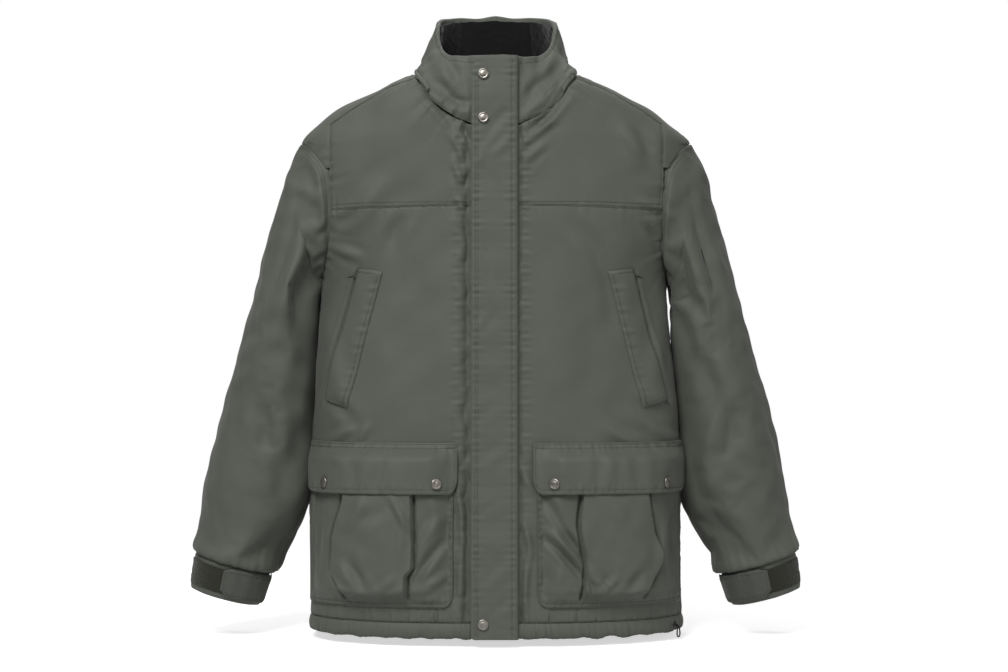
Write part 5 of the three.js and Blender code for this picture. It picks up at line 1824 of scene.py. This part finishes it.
def mirrorTube(points, side):
    if side == "right":
        return (points * np.array([-1, 1, 1]))[:, ::-1]
    return points


def tubeMesh(name, points, material, side):
    rows, columns = points.shape[:2]
    wrapped = np.concatenate([points, points[:, :1]], axis=1)
    uv = clothUv(wrapped)
    placed = mirrorTube(wrapped, side)
    return buildMesh(name, placed.reshape(-1, 3), gridFaces(rows, columns + 1), material, uv)


armpitPoint = np.array([armpitHalf + 0.3, 0, armpit])
sleeveWay = np.array([math.cos(math.radians(20)), 0, -math.sin(math.radians(20))])


def sleeveBlend(side):
    start = toFrame(armpitPoint)
    end = start + sleeveWay * 0.11
    sign = 1 if side == "left" else -1
    flip = np.array([sign, 1, 1])
    return ("jacket_body", f"sleeve_{side}", tuple(start * flip), tuple(end * flip))


def sleeveFolds(u, v, total, side):
    lift = np.zeros(u.shape)
    for shift in (-360, 0, 360):
        lift += folds(u + shift, v, sleeve[side])
    return sleeve["strength"] * lift * ease(v / 40) * ease((total - v) / 30)


def buckled(points, along, run, total):
    places = np.linspace(0, total, run["rows"])
    rowAt = np.interp(places, along, np.arange(len(along)))
    columnAt = np.arange(run["columns"]) * points.shape[1] / run["columns"]
    coarse = cubic(cubic(points, rowAt, 0, False), columnAt, 1, True)
    moved = runCloth(coarse, True, run)
    back = along / total * (run["rows"] - 1)
    around = np.arange(points.shape[1]) * run["columns"] / points.shape[1]
    fine = cubic(cubic(moved, np.minimum(back, run["rows"] - 1.0001), 0, False), around, 1, True)
    turned = (np.arange(points.shape[1]) * 360 / points.shape[1] + 180) % 360 - 180
    calm = 1 - 0.85 * bell(turned, 55)
    return points + fine * calm[None, :, None]


def makeSleeve(side):
    points, along, turns = sleeveGrid(0.0, step=sleeve["step"])
    normals = gridNormals(points)
    u, v = np.meshgrid(turns, along)
    seed = 100 if side == "left" else 140
    wholeLength = along[-1]
    fromEnd = wholeLength - v
    soft = 1.7 * ripples(points, 110, seed, stretch=(1, 1, 0.5)) + 0.6 * ripples(points, 42, seed + 1)
    wide, narrow = np.radians(u * 9), np.radians(u * 17)
    gathers = waver(v, 90, seed + 2) + np.sin(wide + seed) + 0.8 * np.sin(narrow + 2 * seed)
    gathers += 0.7 * np.sin(np.radians(u * 29) + seed)
    lift = sleeveFolds(u, v, wholeLength, side) + soft * ease(v / 40) * ease(fromEnd / 30)
    lift += 0.7 * gathers * np.exp(-v / 26) * (1 - np.exp(-v / 2))
    lift += 1.1 * gathers * np.exp(-fromEnd / 24) * (1 - np.exp(-fromEnd / 2))
    away = 1 - 0.96 * bell((u + 180) % 360 - 180, 45)
    lift += away * (sleeve["capPuff"] * ease(v / 9) * bell(v - 12, 28) - 1.2 * np.exp(-v / 2.5))
    lift += sleeve["cuffPuff"] * bell(fromEnd - 13, 15) * ease(fromEnd / 8) - 1.2 * np.exp(-fromEnd / 2.0)
    lift += sleeve["pressed"] * bell(u - 180, 40) * ease(v / 30) * ease((440 - v) / 90)
    points = points + normals * lift[..., None]
    points = buckled(points, along, sleeve["cloth"], wholeLength)
    ring = np.concatenate([points, points[:, :1]], axis=1)
    outward = np.concatenate([normals, normals[:, :1]], axis=1)
    everyColumn = whole(0, None)
    placed, placedOut = mirrorTube(ring, side), mirrorTube(outward, side)
    routes = [[(6, everyColumn)], [(3, everyColumn)], [(-7, everyColumn)]]
    stitch(placed, sleeveBlend(side), *routes, normals=placedOut)
    tucked = points[:1] - normals[:1] * 2.2 - np.array([5.0, 0, 0])
    made = tubeMesh(f"sleeve_{side}", np.concatenate([tucked, points]), oliveNylon, side)
    paddedPiece(thicken(made, 1.8, merge=True), sleeveBlend(side), "shell", f"sleeve_{side}")

    inner, along, turns = sleeveGrid(9.0, first=1, lengthwise=spaced(560, 9))
    u, v = np.meshgrid(turns, along)
    rings = -1.2 * np.abs(np.sin(np.pi * v / 46)) + np.minimum(sleeveFolds(u, v + 26, wholeLength, side), 0)
    rings -= 1.5 * np.exp(-(along[-1] - v) / 20)
    drawnIn = inner + gridNormals(inner) * rings[..., None]
    made = tubeMesh(f"sleeveLining_{side}", drawnIn, quiltedLining, side)
    paddedPiece(thicken(made, 1.2, merge=True), sleeveBlend(side), "lining", f"sleeve_lining_{side}")


# cuffs

cuff = {
    "patch": (14, 112, 0.12, 0.82),
    "tab": (86, 181),
    "tabLift": 4.9,
}


def cuffOutside(turn, along):
    start, end = sleeve["rings"][-1], sleeve["cuffEnd"]
    turn, along = np.broadcast_arrays(np.asarray(turn, float), np.asarray(along, float))
    low, high = ringPoint(start, turn, 0.0), ringPoint(end, turn, 0.0)
    return low + (high - low) * along[..., None]


def cuffLift(turn, along, lift):
    step = 0.05
    alongA = cuffOutside(turn + step, along) - cuffOutside(turn - step, along)
    alongB = cuffOutside(turn, along + 0.001) - cuffOutside(turn, along - 0.001)
    normal = unit(np.cross(alongA, alongB))
    return cuffOutside(turn, along) + normal * np.asarray(lift)[..., None]


def cuffPiece(name, points, material, side, thickness, body, slot, *nodes):
    placed = points * np.array([-1, 1, 1]) if side == "right" else points
    faces = gridFaces(*points.shape[:2])
    if side == "right":
        faces = faces[:, ::-1]
    made = buildMesh(name, placed.reshape(-1, 3), faces, material, clothUv(points))
    return sewn(thicken(made, thickness), body, slot, *nodes)


def makeCuff(side):
    seed = 160 if side == "left" else 180
    turns = np.arange(151) * 360 / 150
    profile = [
        (0.0, -1.5),
        (0.02, -0.4),
        (0.06, 0.4),
        (0.14, 1.0),
        (0.3, 1.3),
        (0.5, 1.3),
        (0.7, 1.2),
        (0.86, 0.9),
        (0.95, 0.3),
        (0.99, -0.8),
        (1.0, -2.2),
        (0.98, -3.4),
        (0.9, -4.0),
        (0.5, -4.2),
        (0.05, -4.0),
    ]
    section = np.array(profile)
    fine = np.linspace(0, len(section) - 1, 40)
    rise = np.interp(fine, np.arange(len(section)), section[:, 0])
    out = np.interp(fine, np.arange(len(section)), section[:, 1])
    u, v = np.meshgrid(turns, rise)
    lift = out[:, None] + 0.0 * u
    loops = np.cos(np.radians(u * 7) + seed) + np.cos(np.radians(u * 12) + 1.3) * 0.7
    lift = lift + 0.35 * loops * (out[:, None] > -2) - 0.7 * bell((v - 0.12) * 50, 1.4) * (out[:, None] > 0)
    points = cuffLift(u, v, lift)
    points[:, -1] = points[:, 0]
    placed = points * np.array([-1, 1, 1]) if side == "right" else points
    mirror = -1.0 if side == "right" else 1.0
    near, far = (int(np.argmin(np.abs(rise[:20] - r))) for r in (0.13, 0.84))
    routes = [[(near, whole(0, None))], [(far, whole(0, None))]]
    stitch(placed, f"sleeve_{side}", *routes, normals=faceNormals(placed) * mirror)
    faces = gridFaces(*u.shape)
    if side == "right":
        faces = faces[:, ::-1]
    made = buildMesh(f"cuffBand_{side}", placed.reshape(-1, 3), faces, oliveNylon, clothUv(points))
    sewn(thicken(made, 0.8, merge=True), f"sleeve_{side}", "shell", f"cuff_band_{side}")

    fromTurn, toTurn, fromRise, toRise = cuff["patch"]
    rimRows = (0, 0.5, 1.2)
    patchTurns = mix(fromTurn, toTurn, spaced(110, 1.6, rimRows, rimRows))
    u, v = np.meshgrid(patchTurns, mix(fromRise, toRise, spaced(35, 1.6, rimRows, rimRows)))
    rim = np.minimum(np.minimum(u - fromTurn, toTurn - u) * 1.1, np.minimum(v - fromRise, toRise - v) * 50)
    base = cuffOutside(u, v)
    lift = 2.5 + 0.28 * ripples(base, 3.4, seed + 1) - 0.9 * np.exp(-rim / 0.9) - 0.4 * bell(rim - 2.6, 0.9)
    body = f"sleeve_{side}"
    patch = cuffLift(u, v, lift)
    stands = f"cuff_loop_patch_{side}"
    cuffPiece(f"cuffLoopPatch_{side}", patch, loopPile, side, 1.1, body, "hook_and_loop", stands)

    first, last = cuff["tab"]
    across = spaced(110, 1.8, (0, 0.5, 1.2, 2.2, 3.4, 4.8), (0, 0.5, 1.2, 2.2))
    up = spaced(43, 1.7, (0, 0.5, 1.2, 2.2, 3.4, 4.8), (0, 0.5, 1.2, 2.2, 3.4, 4.8))
    blunt = 0.16 * (1 - ease(across / 0.14))
    u = mix(first, last, across)[None, :] + 0 * up[:, None]
    v = mix((0.04 + blunt * 0.6)[None, :], (0.9 - blunt)[None, :], up[:, None])
    rim = np.minimum(np.minimum(up, 1 - up)[:, None] * 43, across[None, :] * 110)
    lift = cuff["tabLift"] + 0.9 * ease(rim / 8) + 0.7 * waver(u, 30, seed + 2) - 1.2 * np.exp(-rim / 1.2)
    lift = lift - 0.5 * bell(rim - 5, 1.2) + 0.3 * waver(u, 7, seed + 3) * bell(rim - 6, 5)
    start = cuffOutside(np.array(179.0), np.array(0.5))
    end = cuffOutside(np.array(165.0), np.array(0.5))
    flip = np.array([1 if side == "left" else -1, 1, 1])
    joined = (f"sleeve_{side}", f"cuff_tab_{side}", tuple(toFrame(start * flip)), tuple(toFrame(end * flip)))
    tab = cuffLift(u, v, lift)
    mirrored = tab * flip
    sign = 1.0 if side == "left" else -1.0
    routes = [[(5, whole(5, -3))], [(-6, whole(5, -3))], [(whole(5, -5), 5)]]
    stitch(mirrored, joined, *routes, normals=faceNormals(mirrored) * sign)
    cuffPiece(f"cuffTab_{side}", tab, tabCloth, side, 1.7, joined, "shell", f"cuff_tab_{side}")

    u, v = np.meshgrid(np.linspace(first + 3, 112, 22), np.linspace(0.16, 0.78, 22))
    base = cuffOutside(u, v)
    lift = 3.1 + 0.18 * ripples(base, 2.2, seed + 4)
    tabBody = f"cuff_tab_{side}"
    hooks = cuffLift(u, v, lift)
    stands = f"cuff_tab_hook_{side}"
    cuffPiece(f"cuffTabHooks_{side}", hooks, hookField, side, 0.7, tabBody, "hook_and_loop", stands)


for side in ("left", "right"):
    makeSleeve(side)
    makeCuff(side)
print("sleeves and cuffs made")

# snaps

snap = {"turns": 40, "studTurns": 28}


def lathe(name, profile, centre, normal, material, turns):
    normal = unit(np.array(normal, float))
    side = unit(np.cross(normal, np.array([0, 0, 1.0])))
    up = np.cross(side, normal)
    angles = np.arange(turns) * 2 * math.pi / turns
    rows = []
    for radius, z in profile:
        ring = centre + radius * (np.cos(angles)[:, None] * side + np.sin(angles)[:, None] * up) + normal * z
        rows.append(ring)
    points = np.array(rows)
    wrapped = np.concatenate([points, points[:, :1]], axis=1)
    faces = gridFaces(len(rows), turns + 1)[:, ::-1]
    made = buildMesh(name, wrapped.reshape(-1, 3), faces, material, clothUv(wrapped))
    weld = made.modifiers.new("weld", "WELD")
    weld.merge_threshold = 0.00001
    settle(made)
    made.data.set_sharp_from_angle(angle=math.radians(40))
    return made


capProfile = [
    (0.001, -1.0),
    (6.6, -1.0),
    (7.5, -0.6),
    (7.8, 0.1),
    (7.75, 0.7),
    (7.4, 1.25),
    (6.8, 1.65),
    (6.2, 1.8),
    (5.7, 1.72),
    (5.2, 1.5),
    (4.8, 1.42),
    (4.3, 1.55),
    (3.4, 1.9),
    (2.2, 2.12),
    (1.0, 2.2),
    (0.001, 2.22),
]
studProfile = [(0.001, -0.4), (4.6, -0.4), (4.6, 0.5), (3.4, 0.7)]
studProfile += [(2.6, 1.0), (2.4, 1.4), (2.1, 1.7), (0.001, 1.75)]


def makeSnaps():
    outward = upTheFront(0.0, 0.0, 1.0) - upTheFront(0.0, 0.0, 0.0)
    for place, height in (("hem", 21), ("upper", 726), ("top", 788)):
        x, y = stormFlap["right"] + 16.6, height / math.cos(lean)
        centre = upTheFront(x, y, 9.6)
        made = lathe(f"stormCap_{place}", capProfile, centre, outward, agedNickel, snap["turns"])
        sewn(made, "storm_flap", "snap_metal", f"storm_cap_{place}")
        centre = upTheFront(x, y, 1.4)
        made = lathe(f"stormStud_{place}", studProfile, centre, outward, agedNickel, snap["studTurns"])
        sewn(made, "jacket_body", "snap_metal", f"storm_stud_{place}")
    for side in ("left", "right"):
        for place, x in (("front", pocketFlap["snapFront"]), ("side", pocketFlap["snapSide"])):
            level = pocketFlap["snapLevel"]
            angle = float(angleAtX(x, level))
            if side == "right":
                angle = 360 - angle
            a, h = np.array([[angle]]), np.array([[level]])
            lift = flapLift(a, h, side)
            out = placeOn(bodyOutside, a, h, lift)[0, 0]
            # the cap sits square on the flap, whose tilt is taken between four points round it
            nearA = np.array([[angle - 0.5, angle + 0.5], [angle, angle]])
            nearH = np.array([[level, level], [level - 2, level + 2]])
            beside = placeOn(bodyOutside, nearA, nearH, flapLift(nearA, nearH, side))
            normal = unit(np.cross(beside[0, 1] - beside[0, 0], beside[1, 1] - beside[1, 0]))
            name, raised = f"pocketCap_{place}_{side}", out + normal * 1.3
            made = lathe(name, capProfile, raised, normal, agedNickel, snap["turns"])
            sewn(made, f"pocket_flap_{side}", "snap_metal", f"pocket_cap_{place}_{side}")
            deep = placeOn(bodyOutside, a, h, lift - 4.6)[0, 0]
            name = f"pocketStud_{place}_{side}"
            made = lathe(name, studProfile, deep, normal, agedNickel, snap["studTurns"])
            sewn(made, "jacket_body", "snap_metal", f"pocket_stud_{place}_{side}")


makeSnaps()
print("snaps made")

# stitching, one piece for each body that carries some

thread = {"pitch": 3.4, "size": (0.6, 0.6, 2.5)}


def makeStitching():
    parts = {"kind": "thread", "size": thread["size"], "material": threadMaterial}
    for body, lines in stitched.items():
        label = body if isinstance(body, str) else body[0] + "_" + body[1]
        made = repeatAlong(f"stitching_{label}", lines, parts, thread["pitch"])
        sewn(made, body, None)


makeStitching()
print("stitching made")

# floor and light

studio = {
    "floor": -0.806,
    "paper": 0.8,
    "glow": 0.62,
    "fade": (0.9, 1.9),
    "key": 84.0,
    "fill": 14.0,
    "rim": 22.0,
    "sky": 0.28,
}


def makeFloor():
    turns = 96
    rings = [0.0001, 0.5, 1.2, 3.0, 8.0]
    points = []
    for r in rings:
        for k in range(turns):
            angle = 2 * math.pi * k / turns
            points.append((r * math.cos(angle), r * math.sin(angle), studio["floor"]))
    faces = gridFaces(len(rings), turns, wrap=True)[:, ::-1]
    mesh = bpy.data.meshes.new("floor")
    mesh.from_pydata(points, [], faces.tolist())
    made, tree, shader = startMaterial("paper", (255, 255, 255), 0.9)
    shader.inputs["Specular IOR Level"].default_value = 0.1
    where = tree.nodes.new("ShaderNodeTexCoord")
    grain = addNoise(tree, where.outputs["Object"], 60.0, 3.0)
    reach = tree.nodes.new("ShaderNodeVectorMath")
    reach.operation = "LENGTH"
    tree.links.new(where.outputs["Object"], reach.inputs[0])
    fade = tree.nodes.new("ShaderNodeMapRange")  # the paper runs out into plain white
    fade.interpolation_type = "SMOOTHSTEP"
    for socket, value in zip(fade.inputs[1:5], (*studio["fade"], 0.0, 1.0)):
        socket.default_value = value
    tree.links.new(reach.outputs["Value"], fade.inputs["Value"])
    near = addMath(tree, "SUBTRACT", 1.0, fade.outputs["Result"])
    shade = addMath(tree, "MULTIPLY", addMath(tree, "MULTIPLY_ADD", grain, 0.01, studio["paper"]), near)
    tree.links.new(shaded(tree, (255, 255, 255), shade), shader.inputs["Base Color"])
    shader.inputs["Emission Color"].default_value = (1, 1, 1, 1)
    seenAs = tree.nodes.new("ShaderNodeLightPath")
    level = addMath(tree, "MULTIPLY_ADD", fade.outputs["Result"], 1 - studio["glow"], studio["glow"])
    glow = addMath(tree, "MULTIPLY", seenAs.outputs["Is Camera Ray"], level)
    tree.links.new(glow, shader.inputs["Emission Strength"])
    mesh.materials.append(made)
    floor = bpy.data.objects.new("floor", mesh)
    scene.collection.objects.link(floor)


def areaLight(name, energy, size, place, target):
    data = bpy.data.lights.new(name, "AREA")
    data.energy = energy
    data.shape = "RECTANGLE"
    data.size, data.size_y = size
    made = bpy.data.objects.new(name, data)
    made.location = place
    made.rotation_euler = (Vector(target) - Vector(place)).to_track_quat("-Z", "Y").to_euler()
    scene.collection.objects.link(made)


makeFloor()
areaLight("keyLight", studio["key"], (1.4, 1.2), (-0.9, -2.3, 1.9), (0, 0, -0.35))
areaLight("fillLight", studio["fill"], (1.6, 2.2), (1.9, -2.2, 0.4), (0, 0, -0.4))
areaLight("backLight", studio["rim"], (2.0, 1.0), (0, 1.3, 2.2), (0, 0, -0.3))

world = bpy.data.worlds.new("studio")
world.use_nodes = True
scene.world = world
sky = world.node_tree
lit = sky.nodes["Background"]
lit.inputs["Color"].default_value = (1, 1, 1, 1)
lit.inputs["Strength"].default_value = studio["sky"]
seen = sky.nodes.new("ShaderNodeBackground")
seen.inputs["Color"].default_value = (1, 1, 1, 1)
seen.inputs["Strength"].default_value = 1.0
path = sky.nodes.new("ShaderNodeLightPath")
either = sky.nodes.new("ShaderNodeMixShader")
sky.links.new(path.outputs["Is Camera Ray"], either.inputs[0])
sky.links.new(lit.outputs[0], either.inputs[1])
sky.links.new(seen.outputs[0], either.inputs[2])
sky.links.new(either.outputs[0], sky.nodes["World Output"].inputs["Surface"])
scene.view_settings.view_transform = "Standard"
print("studio made")
